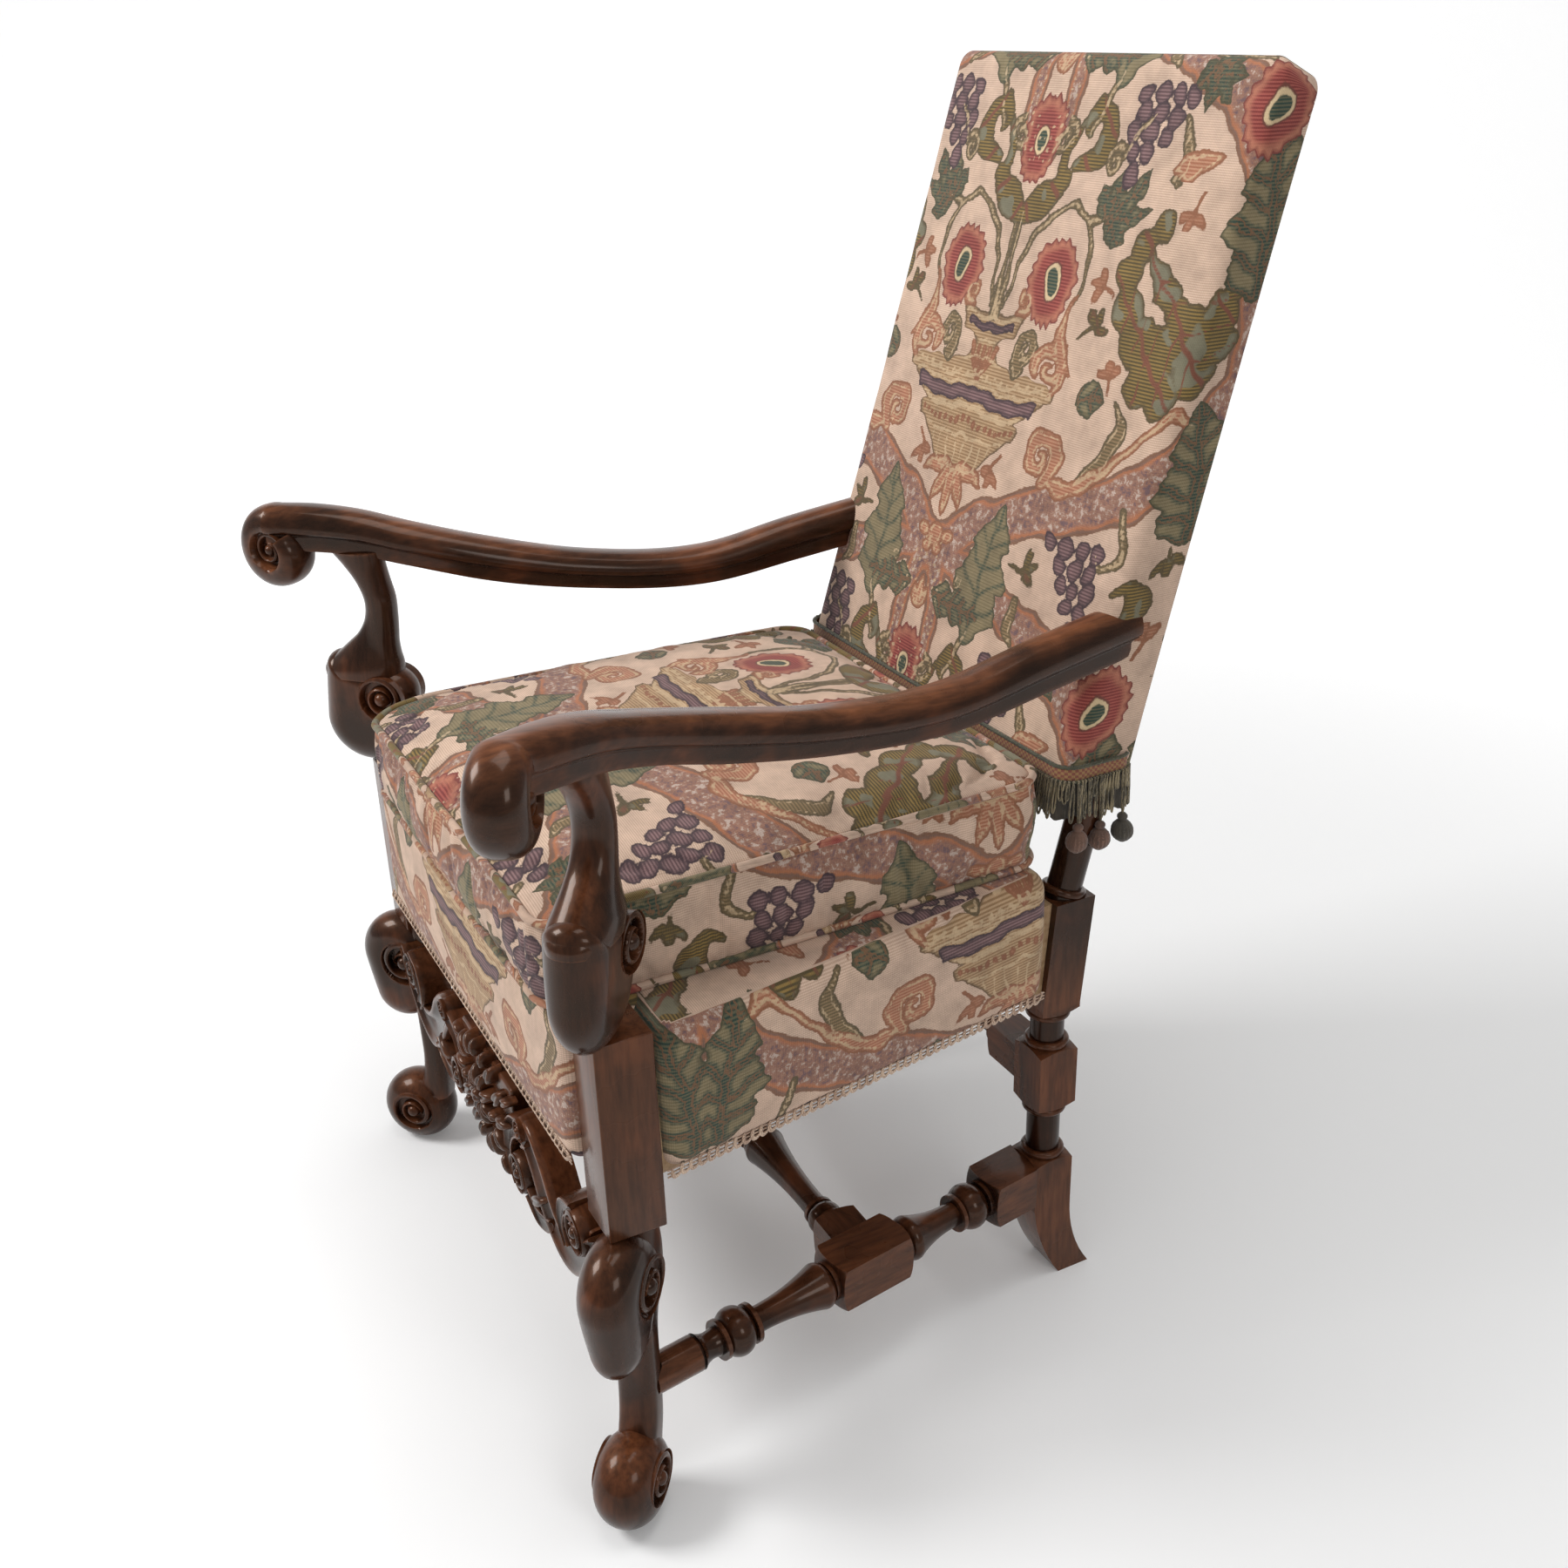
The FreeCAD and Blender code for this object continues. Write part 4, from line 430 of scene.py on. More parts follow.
def volute(name, centre, outer, level, depth, eye, proud, origin, axes, material, hand=1, start=0.0,
           shrink=0.5):
    """A coiled channel with crisp walls that winds in from a round rim to a domed eye, on both cheeks."""
    rays, rings = 132, 54
    radius = np.outer(np.linspace(0.03, 1, rings), np.full(rays, outer))
    theta = np.broadcast_to(circle(rays), radius.shape)
    lap = np.log(radius / outer) / math.log(shrink)
    turn = np.mod(hand * (theta - math.radians(start)), 2 * math.pi) / (2 * math.pi)
    part = np.mod(lap - turn + 0.02, 1.0)
    sunk = np.clip((part - 0.30) / 0.12, 0, 1) * np.clip((0.98 - part) / 0.12, 0, 1)
    sunk = sunk * sunk * (3 - 2 * sunk) * np.clip((outer - radius) / 1.6, 0, 1)
    sunk = np.maximum(sunk, np.clip((eye * 1.32 - radius) / (0.12 * eye), 0, 1))
    crown = 1.1 * np.sin(np.clip(part / 0.36, 0, 1) * math.pi)
    height = level - depth * sunk + crown * (1 - sunk)
    dome = np.sqrt(np.clip(1 - (radius / eye) ** 2, 0, 1))
    height = height + (depth + proud) * dome ** 0.8
    radius = np.vstack([radius, radius[-1:], radius[-1:] * 0.97])
    height = np.vstack([height, height[-1:] - 1.0, height[-1:] - 11.0])
    theta = np.vstack([theta, theta[-1:], theta[-1:]])
    u = centre[0] + radius * np.cos(theta)
    v = centre[1] + radius * np.sin(theta)
    made = []
    for side in (1, -1):
        points = in_plane(u.ravel(), v.ravel(), side * height.ravel(), origin, axes)
        made.append(make(f"{name}_{side + 1}", points, closed_faces(len(radius), rays), material))
    return made


def pinch(piece, origin, high, low, share):
    """Narrows a scroll across its width toward its lower end, as an egg narrows."""
    for vertex in piece.data.vertices:
        spot = np.array(vertex.co) / MM + ORIGIN
        down = min(max((high - spot[2]) / (high - low), 0.0), 1.0)
        across = float((spot - origin) @ ACROSS)
        vertex.co += Vector(-ACROSS * across * share * down ** 1.7 * MM)


def swept(name, stations, origin, axes, material, power, count=48):
    """A bar along v whose section is a squared ellipse: each station is (v, u, depth, width)."""
    stations = np.array(stations, dtype=float)
    fine = np.linspace(0, len(stations) - 1, (len(stations) - 1) * 8 + 1)
    keys = np.arange(len(stations))
    smooth = np.column_stack([cubic(keys, stations[:, i], fine) for i in range(4)])
    angles = circle(count)
    shape_u = np.sign(np.cos(angles)) * np.abs(np.cos(angles)) ** (2 / power)
    shape_w = np.sign(np.sin(angles)) * np.abs(np.sin(angles)) ** (2 / power)
    points = []
    for height, middle, depth, width in smooth:
        points.append(in_plane(middle + depth * shape_u, np.full(count, height),
                               width * shape_w, origin, axes))
    return make(name, np.vstack(points), closed_faces(len(smooth), count), material)


def cubic(keys, values, where):
    """Catmull-Rom values between keys."""
    values = np.asarray(values, dtype=float)
    slopes = np.gradient(values, keys)
    spot = np.clip(np.searchsorted(keys, where, side="right") - 1, 0, len(keys) - 2)
    run = keys[spot + 1] - keys[spot]
    t = (where - keys[spot]) / run
    return ((2 * t ** 3 - 3 * t ** 2 + 1) * values[spot] + (t ** 3 - 2 * t ** 2 + t) * run * slopes[spot]
            + (-2 * t ** 3 + 3 * t ** 2) * values[spot + 1] + (t ** 3 - t ** 2) * run * slopes[spot + 1])


def block(name, low, high, edge, material):
    """A squared block with its edges just eased."""
    work = bmesh.new()
    bmesh.ops.create_cube(work, size=1.0)
    low, high = np.array(low, dtype=float), np.array(high, dtype=float)
    for vertex in work.verts:
        vertex.co = Vector(place((np.array(vertex.co) + 0.5) * (high - low) + low))
    bmesh.ops.bevel(work, geom=work.edges, offset=edge * MM, segments=3, profile=0.5,
                    affect="EDGES")
    mesh = bpy.data.meshes.new(name)
    work.to_mesh(mesh)
    work.free()
    return finished(name, mesh, material)


def rest_on(piece, level):
    """Flattens what hangs below a level."""
    for vertex in piece.data.vertices:
        vertex.co.z = max(vertex.co.z, level * MM)


# Front legs and arm supports: sizes in the upright plane through the leg's axis and the corner
BLOCK_TOP = 470
leg_plane = (np.array([284.2, 24.3, 0.0]), (OUTWARD, UPWARD, ACROSS), wood_upright)
knee = scroll("knee", [(28, 242, 46), (34, 192, 32)], (18, 238), 24.5, 25, recess(26, 12), *leg_plane)
pinch(knee, leg_plane[0], 235, 158, 0.3)
knee_cheeks = volute("knee_volute", (18, 238), 26, 25, 7, 8.5, 4, *leg_plane, hand=-1, start=100)
foot = scroll("foot", [(35, 40.5, 41.5)], (32, 44), 27.5, 27, recess(24, 12), *leg_plane)
foot_cheeks = volute("foot_volute", (32, 44), 24, 26.5, 6, 7.5, 4, *leg_plane, start=60)
rest_on(foot, 0)
neck = swept("neck", [
    (286, -6, 14, 15), (268, -6, 20, 20), (240, -2, 24, 22), (212, 2, 20, 20.5), (186, 4, 14.5, 18.5),
    (150, 4, 13.2, 17.6), (112, 4, 13.2, 17.5), (84, 7, 15, 17.5), (58, 15, 20, 17)],
    *leg_plane, power=3.4)
leg_block = block("leg_block", (259.9, 0, 288), (308.5, 48.6, BLOCK_TOP), 1.4, wood_upright)
left_leg = join("front_leg_carved_left", [leg_block, knee, foot, neck] + knee_cheeks + foot_cheeks)
sharpen(left_leg)

bulb = scroll("bulb", [(30, 515, 44), (52, 574, 14), (-2, 547, 27)], (0, 546), 25, 24,
              recess(24, 12), *leg_plane)
pinch(bulb, leg_plane[0], 560, BLOCK_TOP, 0.34)
bulb_cheeks = volute("bulb_volute", (0, 546), 24, 24.5, 7.5, 8, 4, *leg_plane, start=80)
rest_on(bulb, BLOCK_TOP)
stem = swept("stem", [
    (565, 27, 41.5, 25.6), (572, 26.5, 42, 25.8), (579, 24, 39.5, 24.6), (588, 19, 33, 22),
    (600, 12, 25.5, 19), (612, 5, 19.5, 17.3), (628, 0, 15.4, 16.6), (646, -1, 14.4, 16.5),
    (664, 4, 16, 16.5), (680, 11, 20.5, 17), (694, 18, 26, 18)],
    *leg_plane, power=2.3)
left_support = join("arm_support_carved_left", [bulb, stem] + bulb_cheeks)
sharpen(left_support)

# Arms: a path from the post to the roll, which turns outward on its way
ARM_REAR = np.array([214, 552, 622])
ARM_RUN = np.array([119, -604, 77])
ROLL_TURN = math.radians(57)
ROLL_RADIUS = 42.6
roll_forward = np.array([math.sin(ROLL_TURN), -math.cos(ROLL_TURN), 0.0])
roll_across = np.array([-math.cos(ROLL_TURN), -math.sin(ROLL_TURN), 0.0])
roll_origin = np.array([333.0, -52.0, 699.0])
ARM_KEYS = np.array([
    # forward share, outward share, height share, turn share, depth, width
    (0.0, 0.0, 0.3, 0.05, 44, 38), (0.169, 0.067, 0.14, 0.08, 42.4, 41.2),
    (0.328, 0.134, 0.01, 0.12, 36.8, 45.2), (0.533, 0.252, 0.17, 0.18, 36, 46),
    (0.70, 0.39, 0.455, 0.34, 40, 46), (0.815, 0.56, 0.74, 0.46, 39.2, 46),
    (0.886, 0.72, 0.9, 0.52, 40.8, 46), (0.95, 0.88, 0.97, 0.7, 42.4, 45.2),
    (1.0, 1.0, 1.0, 1.0, 42.4, 44)])


def arm_profile(count=16):
    """Half of the arm's moulded section: (across share, height share) from the middle below up."""
    lower = [(0.0, 0.0), (0.5, 0.0), (0.78, 0.01), (0.82, 0.05), (0.825, 0.11), (0.83, 0.17), (0.83, 0.22),
             (0.83, 0.27), (0.83, 0.31), (0.835, 0.345), (0.87, 0.365), (0.865, 0.385), (0.915, 0.405),
             (0.965, 0.44), (0.99, 0.48), (1.0, 0.52)]
    crown = []
    for index in range(1, count + 1):
        angle = math.pi / 2 * index / count
        crown.append((math.cos(angle) ** 0.8, 0.52 + 0.48 * math.sin(angle)))
    return np.array(lower + crown)


def arm_body():
    """The arm and its roll in one sweep: along the path, then round the roll's axis."""
    half = arm_profile()
    section = np.vstack([half, (half * [-1, 1])[-2:0:-1]])
    steps = np.linspace(0, 1, 96) ** 0.9
    values = [cubic(ARM_KEYS[:, 0], ARM_KEYS[:, i], steps) for i in range(1, 6)]
    points = []
    for step, outward_share, high, turn_share, depth, width in zip(steps, *values):
        turn = ROLL_TURN * turn_share
        centre = ARM_REAR + ARM_RUN * (outward_share, step, high)
        across = np.array([math.cos(turn), math.sin(turn), 0.0])
        points.append(centre + np.outer(section[:, 0] * width / 2, across)
                      + np.outer(section[:, 1] * depth, UPWARD))
    for angle in np.radians(np.arange(4, 312, 4)):
        share = np.clip((math.degrees(angle) - 120) / 170, 0, 1)
        radial = UPWARD * math.cos(angle) + roll_forward * math.sin(angle)
        width = 43.5 + 1.5 * math.sin(min(angle, math.pi))
        out = section[:, 0] * width / 2
        away = section[:, 1] * (ROLL_RADIUS - 14.5 * share ** 1.5)
        # each cheek sinks near the axis, for its volute to stand in
        sunk = 8.0 * np.clip((19.5 - away) / 3, 0, 1) * np.clip(angle / 0.9, 0, 1)
        sunk = sunk * (section[:, 1] < 0.5) * (np.abs(section[:, 0]) > 0.6)
        out = out - np.sign(section[:, 0]) * sunk
        points.append(roll_origin + np.outer(out, -roll_across) + np.outer(away, radial))
    return make("arm_body", np.vstack(points), closed_faces(len(points), len(section)), wood_arm)


roll_cheeks = volute("roll_volute", (0, 0), 17.5, 17.5, 6, 6, 3, roll_origin,
                     (roll_forward, UPWARD, roll_across), wood_arm, hand=-1, start=90, shrink=0.46)
left_arm = join("arm_carved_left", [arm_body()] + roll_cheeks)
sharpen(left_arm, 42)

for left, node_name in ((left_leg, "front_leg"), (left_support, "arm_support"), (left_arm, "arm")):
    twin = mirror(left, left.name.replace("_left", "_right"))
    sharpen(twin)
    dress(left, "frame", node_name + "_left")
    dress(twin, "frame", node_name + "_right")


# Tapestry: a mirrored floral repeat, drawn as smooth distances in millimetres.
# Each family of motifs is below zero inside and above zero outside.
REPEAT_HALF = 335.0
REPEAT_RISE = 505.0
FAR = 60.0
LONGEST = 2000.0
FAMILIES = ("ribbon", "leaf", "gold", "flower", "grape", "salmon", "stem", "urn")


def stroke(p, line, widths):
    """A band along a given line whose half width changes from point to point."""
    line = smooth_line(np.array(line, dtype=float))
    gap, where = segment_distance(p, line, closed=False)
    keys = np.linspace(0, len(line) - 1, len(widths))
    return gap - np.interp(where, keys, widths)


def smooth_line(line, steps=5):
    keys = np.arange(len(line))
    fine = np.linspace(0, len(line) - 1, (len(line) - 1) * steps + 1)
    return np.column_stack([cubic(keys, line[:, 0], fine), cubic(keys, line[:, 1], fine)])


def saw(turns):
    """A lean saw-tooth wave from 0 to 1, for serrated edges."""
    part = np.mod(turns, 1.0)
    return np.where(part < 0.7, part / 0.7, (1 - part) / 0.3)


def blossom(p, centre, radii, petals):
    away = (p - centre) / radii
    radial = np.hypot(away[:, 0], away[:, 1])
    angle = np.arctan2(away[:, 1], away[:, 0])
    edge = 0.86 + 0.14 * saw(petals * angle / (2 * math.pi))
    return (radial / edge - 1) * min(radii), radial


def lobe(p, base, tip, width, teeth=0, cut=0.25):
    """A pointed leaf from base to tip; also how close each point is to its veins."""
    base, tip = np.array(base, dtype=float), np.array(tip, dtype=float)
    length = np.hypot(*(tip - base))
    run = (tip - base) / length
    along = (p - base) @ run / length
    across = (p - base) @ np.array([-run[1], run[0]])
    inside = np.clip(along, 0, 1)
    half = width * np.sin(math.pi * inside ** 0.8) ** 0.75
    if teeth:
        large = saw(teeth * 0.62 * inside + 0.2 + 0.25 * (across > 0))
        half = half * (1.08 - cut * large - 0.09 * saw(teeth * 2.3 * inside))
    gap = np.abs(across) - half
    gap = np.maximum(gap, np.maximum(-along, along - 1) * length)
    vein = np.abs(across)
    if teeth:
        turns = teeth * (inside - np.abs(across) / length * 0.7)
        vein = np.minimum(vein, np.abs(np.mod(turns + 0.5, 1) - 0.5) * length / teeth)
    return gap, vein * 0.9


def vine_leaf(p, base, tip, spread=1.0):
    """A leaf of five serrated lobes fanned about its stalk."""
    base, tip = np.array(base, dtype=float), np.array(tip, dtype=float)
    run = tip - base
    gaps, veins = [], []
    for degrees, share in ((0, 1.0), (34, 0.86), (-34, 0.86), (74, 0.6), (-74, 0.6)):
        angle = math.radians(degrees * spread)
        turned = np.array([run[0] * math.cos(angle) - run[1] * math.sin(angle),
                           run[0] * math.sin(angle) + run[1] * math.cos(angle)]) * share
        gap, vein = lobe(p, base, base + turned, np.hypot(*run) * 0.2, 4, 0.3)
        gaps.append(gap)
        veins.append(np.where(gap < 1, vein, FAR))
    return np.min(gaps, axis=0), np.min(veins, axis=0)


def curl(p, centre, radius, start, turns, widths):
    """A spiral tendril that tightens from its start angle."""
    line = []
    for index in range(int(abs(turns) * 10) + 1):
        share = index / (abs(turns) * 10)
        angle = math.radians(start) + math.copysign(share * abs(turns) * 2 * math.pi, turns)
        line.append((centre[0] + radius * (1 - 0.8 * share) * math.cos(angle),
                     centre[1] + radius * (1 - 0.8 * share) * math.sin(angle)))
    gap, where = segment_distance(p, line, closed=False)
    return gap - np.interp(where, np.linspace(0, len(line) - 1, len(widths)), widths)


def bunch(p, top, lean):
    """A bunch of grapes hanging from its widest row."""
    gaps = []
    for row, number in enumerate((4, 3, 3, 2, 1)):
        for index in range(number):
            x = top[0] + (index - (number - 1) / 2) * 20 + lean * row * 5
            y = top[1] - row * 16.5
            gaps.append(np.hypot(p[:, 0] - x, p[:, 1] - y) - 9.2)
    return np.min(gaps, axis=0)


def discs(p, places):
    return np.min([np.hypot(p[:, 0] - x, p[:, 1] - y) - r for x, y, r in places], axis=0)


URN_PROFILE = [
    # height, half width
    (206, 9), (226, 34), (252, 62), (262, 76), (264, 84), (276, 84), (278, 70), (286, 90),
    (306, 108), (309, 120), (320, 120), (323, 66), (334, 26), (346, 20), (352, 22), (355, 42),
    (371, 46), (374, 46)]


def urn(p):
    heights, halves = np.array(URN_PROFILE, dtype=float).T
    half = np.interp(p[:, 1], heights, halves)
    return np.maximum((np.abs(p[:, 0]) - half) * 0.8,
                      np.maximum(heights[0] - p[:, 1], p[:, 1] - heights[-1]))


def sprigs(p):
    """Small sprigs of three leaves, one to each cell whose middle is bare, and their cells' numbers."""
    pitch = np.array([REPEAT_HALF / 8, REPEAT_RISE / 14])
    cell = np.floor(p / pitch)
    middles, which = np.unique(cell, axis=0, return_inverse=True)
    around = merged_fields((middles + 0.5) * pitch)
    bare = np.minimum.reduce([around[name] for name in FAMILIES]) > 12.5
    turn = 2.4 * cell[:, 0] + 1.3 * cell[:, 1] + 0.9 * np.sin(3.1 * cell[:, 0] * cell[:, 1] + 1)
    local = p - (cell + 0.5) * pitch
    gaps = []
    for lean in (-1.0, 0.0, 1.0):
        along = local[:, 0] * np.cos(turn + lean) + local[:, 1] * np.sin(turn + lean)
        across = local[:, 1] * np.cos(turn + lean) - local[:, 0] * np.sin(turn + lean)
        gaps.append((np.hypot((along - 10) / 10, across / 4.8) - 1) * 4.8)
    along = local[:, 0] * np.cos(turn) + local[:, 1] * np.sin(turn)
    across = local[:, 1] * np.cos(turn) - local[:, 0] * np.sin(turn)
    gaps.append(np.hypot(along - np.clip(along, -17, 2), across - 0.02 * along ** 2) - 2.0)
    return np.where(bare[which.ravel()], np.min(gaps, axis=0), FAR), cell[:, 0] + 2 * cell[:, 1]


def motif_fields(p):
    """Every family of the repeat at points of its right half."""
    least = np.minimum.reduce
    field = {}
    band_widths = [17, 20, 23, 25, 25, 24, 22]
    ogee = least([
        stroke(p, [(-30, 128), (0, 149), (50, 178), (110, 203), (180, 226), (245, 250), (300, 292),
                   (333, 350)], band_widths),
        stroke(p, [(333, 350), (326, 430), (300, 510), (262, 566), (190, 606), (95, 636), (0, 656)],
               band_widths[::-1])])
    ring = np.abs(np.hypot(p[:, 0] / 28, (p[:, 1] - 78) / 62) - 1) * 28 - 13
    field["ribbon"] = np.minimum(ogee, ring)
    green = [vine_leaf(p, (126, 470), (168, 512)), lobe(p, (322, 415), (296, 556), 44, 6, 0.35),
             lobe(p, (330, 205), (300, 338), 40, 6, 0.35), lobe(p, (22, 612), (98, 604), 21, 5, 0.35),
             lobe(p, (86, 74), (96, 212), 40, 6, 0.32), vine_leaf(p, (205, 98), (232, 60)),
             lobe(p, (153, 318), (190, 322), 17, 2, 0.2)]
    field["leaf"] = least([gap for gap, _ in green])
    pale = [np.where(gap < 2, vein + offset, FAR) for (gap, vein), offset in
            zip(green, (0, -2.2, -2.2, -1, 1.5, 0, -1))]
    field["vein"] = least(pale)
    gold_tip, gold_vein = lobe(p, (196, 450), (296, 352), 16, 5, 0.3)
    field["gold"] = least([
        discs(p, [(200, 470, 15), (184, 452, 16), (176, 428, 17), (186, 402, 20), (206, 378, 22),
                  (234, 366, 27), (262, 386, 27), (288, 408, 20), (300, 430, 13), (250, 338, 20),
                  (226, 344, 18), (280, 356, 21), (296, 380, 16)]), gold_tip,
        stroke(p, [(4, 462), (22, 476), (42, 496), (45, 524), (55, 546)], [9, 17, 15, 8, 6, 3]),
        discs(p, [(30, 476, 11), (50, 500, 9), (16, 482, 9)]),
        stroke(p, [(66, 4), (92, 20), (94, 48), (72, 58), (62, 42), (72, 34)], [8, 12, 11, 9, 6, 4]),
        stroke(p, [(262, 108), (286, 130), (296, 160), (282, 178), (270, 168)], [5, 13, 12, 8, 4])])
    field["gold_vein"] = gold_vein
    bloom = [blossom(p, (0, 532), (30, 43), 17), blossom(p, (73, 410), (35, 42), 19),
             blossom(p, (286, 66), (37, 42), 19)]
    field["flower"] = least([gap for gap, _ in bloom])
    field["radial"] = least([radial for _, radial in bloom])
    field["grape"] = least([
        bunch(p, (158, 575), -1), bunch(p, (205, 196), 1.4),
        np.maximum(np.abs(p[:, 0]) - 98, np.abs(p[:, 1] - 295) - 7),
        np.maximum(np.abs(p[:, 0]) - 36, np.abs(p[:, 1] - 362) - 3.6)])
    fan = [stroke(p, [(0, 306), (8 * i, 330), (11 * i, 343)], [1.5, 2.6, 3.4]) for i in (0, 1, 2)]
    petals = [lobe(p, (4 * i, 232), (27 * i, 178 + 9 * i * i), 8.5)[0] for i in (0, 1, 2)]
    field["salmon"] = least(fan + petals + [
        discs(p, [(0, 158, 13), (18, 163, 9), (9, 146, 8)]),
        np.maximum(np.abs(p[:, 1] - 270) - 3, np.abs(np.mod(p[:, 0], 9) - 4.5) - 2.6 + 8 * (
            np.abs(p[:, 0]) > 80)),
        curl(p, (103, 338), 21, 200, -1.3, [7, 7, 5, 3]), curl(p, (128, 262), 24, -60, 1.4, [9, 9, 7, 4]),
        stroke(p, [(140, 240), (170, 240), (206, 262), (240, 296), (272, 322), (300, 312)],
               [4, 9, 7, 5, 5, 7, 3]),
        stroke(p, [(114, 404), (108, 372), (121, 342), (113, 312)], [2, 5, 9, 7, 2]),
        stroke(p, [(119, 350), (136, 338)], [6, 2]), lobe(p, (0, 590), (14, 614), 7)[0],
        lobe(p, (0, 590), (0, 622), 7)[0], curl(p, (40, 388), 12, 250, 1.2, [5, 5, 3]),
        lobe(p, (190, 12), (246, 22), 12, 4)[0]])
    field["stem"] = least([
        stroke(p, [(2, 372), (4, 420), (4, 462)], [5, 3, 4]),
        stroke(p, [(8, 380), (22, 430), (44, 466), (78, 478), (106, 460), (116, 430), (114, 396)],
               [3, 3, 4, 4, 4, 3, 2]),
        stroke(p, [(106, 464), (130, 474)], [4, 3]),
        curl(p, (66, 346), 17, 250, -1.4, [8, 7, 5, 3]),
        curl(p, (112, 520), 12, 60, 1.3, [4, 4, 3]), stroke(p, [(122, 524), (150, 560)], [4, 5, 3]),
        stroke(p, [(185, 560), (206, 528), (196, 506)], [3, 6, 7, 4]),
        stroke(p, [(176, 246), (206, 276), (216, 306), (206, 322)], [3, 9, 8, 3]),
        stroke(p, [(250, 236), (262, 206), (246, 184), (232, 198)], [4, 5, 4, 3]),
        stroke(p, [(88, 86), (80, 62), (70, 34)], [4, 5, 4]), curl(p, (34, 28), 15, 90, -1.3, [5, 5, 3]),
        stroke(p, [(200, 104), (236, 108), (262, 100)], [3, 4, 3]),
        stroke(p, [(150, 132), (146, 108), (158, 92)], [6, 8, 4]),
        stroke(p, [(60, 128), (60, 128.5)], [8, 8])])
    field["urn"] = urn(p)
    rows = [np.maximum(np.abs(p[:, 1] - level) - 1.4, field["urn"] + 2) for level in (
        226, 258, 281, 284, 305, 312, 331, 350, 369)]
    beads = np.hypot(np.mod(p[:, 0], 12) - 6, (p[:, 1] - 316) * 1.4) - 2.6
    flutes = np.maximum(np.abs(np.mod(p[:, 0] / (0.35 + p[:, 1] / 400), 14) - 7) - 1.1,
                        np.maximum(np.abs(p[:, 1] - 240) - 13, field["urn"] + 3))
    dots = np.hypot(np.mod(p[:, 0], 9) - 4.5, np.mod(p[:, 1] + 3, 9) - 4.5) - 1.7
    field["cream"] = least(rows + [
        np.maximum(beads, field["urn"] + 3), flutes, np.maximum(dots, ring + 4),
        np.abs(field["salmon"] + 4.2) - 0.9, np.abs(field["stem"] + 3.4) - 0.6])
    return field


def merged_fields(p):
    """The families at points of the repeat, with what overhangs from the repeat below."""
    first, second = motif_fields(p), motif_fields(p + [0.0, REPEAT_RISE])
    return {name: np.minimum(first[name], second[name]) for name in first}


def pattern(s, t):
    """Families of motifs at pattern coordinates s, t, repeated and mirrored."""
    across = np.abs(np.mod(s + REPEAT_HALF, 2 * REPEAT_HALF) - REPEAT_HALF)
    upward = np.mod(t, REPEAT_RISE)
    sway = 2.4 * np.sin(upward / 17 + 1.7 * np.sin(across / 23)) + 1.5 * np.sin(upward / 6.1 + across / 9)
    lift = 2.2 * np.sin(across / 15 + 1.9 * np.sin(upward / 27)) + 1.4 * np.sin(across / 5.3 - upward / 8)
    across, upward = across + sway * np.clip(across / 12, 0, 1), upward + lift
    field = merged_fields(np.column_stack([across, upward]))
    nearest = np.minimum.reduce([field[name] for name in FAMILIES])
    small, number = sprigs(np.column_stack([across, upward]))
    small = np.maximum(small, 3.5 - nearest)
    for index, name in enumerate(("leaf", "salmon", "gold")):
        field[name] = np.minimum(field[name], np.where(np.mod(number, 3) == index, small, FAR))
    return field


def paint(piece, s, t, axis):
    """Stores the tapestry's distances on a mesh, for its material to read."""
    fields = pattern(s + axis, t)
    fields.update(weft=t, warp=s)
    store(piece, **{name: np.clip(values, -FAR, LONGEST) for name, values in fields.items()})


def read_field(tree, name):
    node = tree.nodes.new("ShaderNodeAttribute")
    node.attribute_name = "tapestry_" + name
    return node.outputs["Fac"]


def below(tree, value, level, softness=0.6):
    """1 where a distance is below a level, 0 above, blurred over a soft edge."""
    node = tree.nodes.new("ShaderNodeMapRange")
    node.interpolation_type = "SMOOTHSTEP"
    fill_inputs(tree, node, Value=value, From_Min=level - softness, From_Max=level + softness,
                To_Min=1.0, To_Max=0.0)
    return node.outputs[0]


def stripes(tree, coordinate, pitch, bias=0.0):
    """Fine lines across a coordinate, from 0 to 1."""
    wave = maths(tree, "SINE", times(tree, coordinate, 2 * math.pi / pitch))
    return below(tree, wave, bias, 0.7)


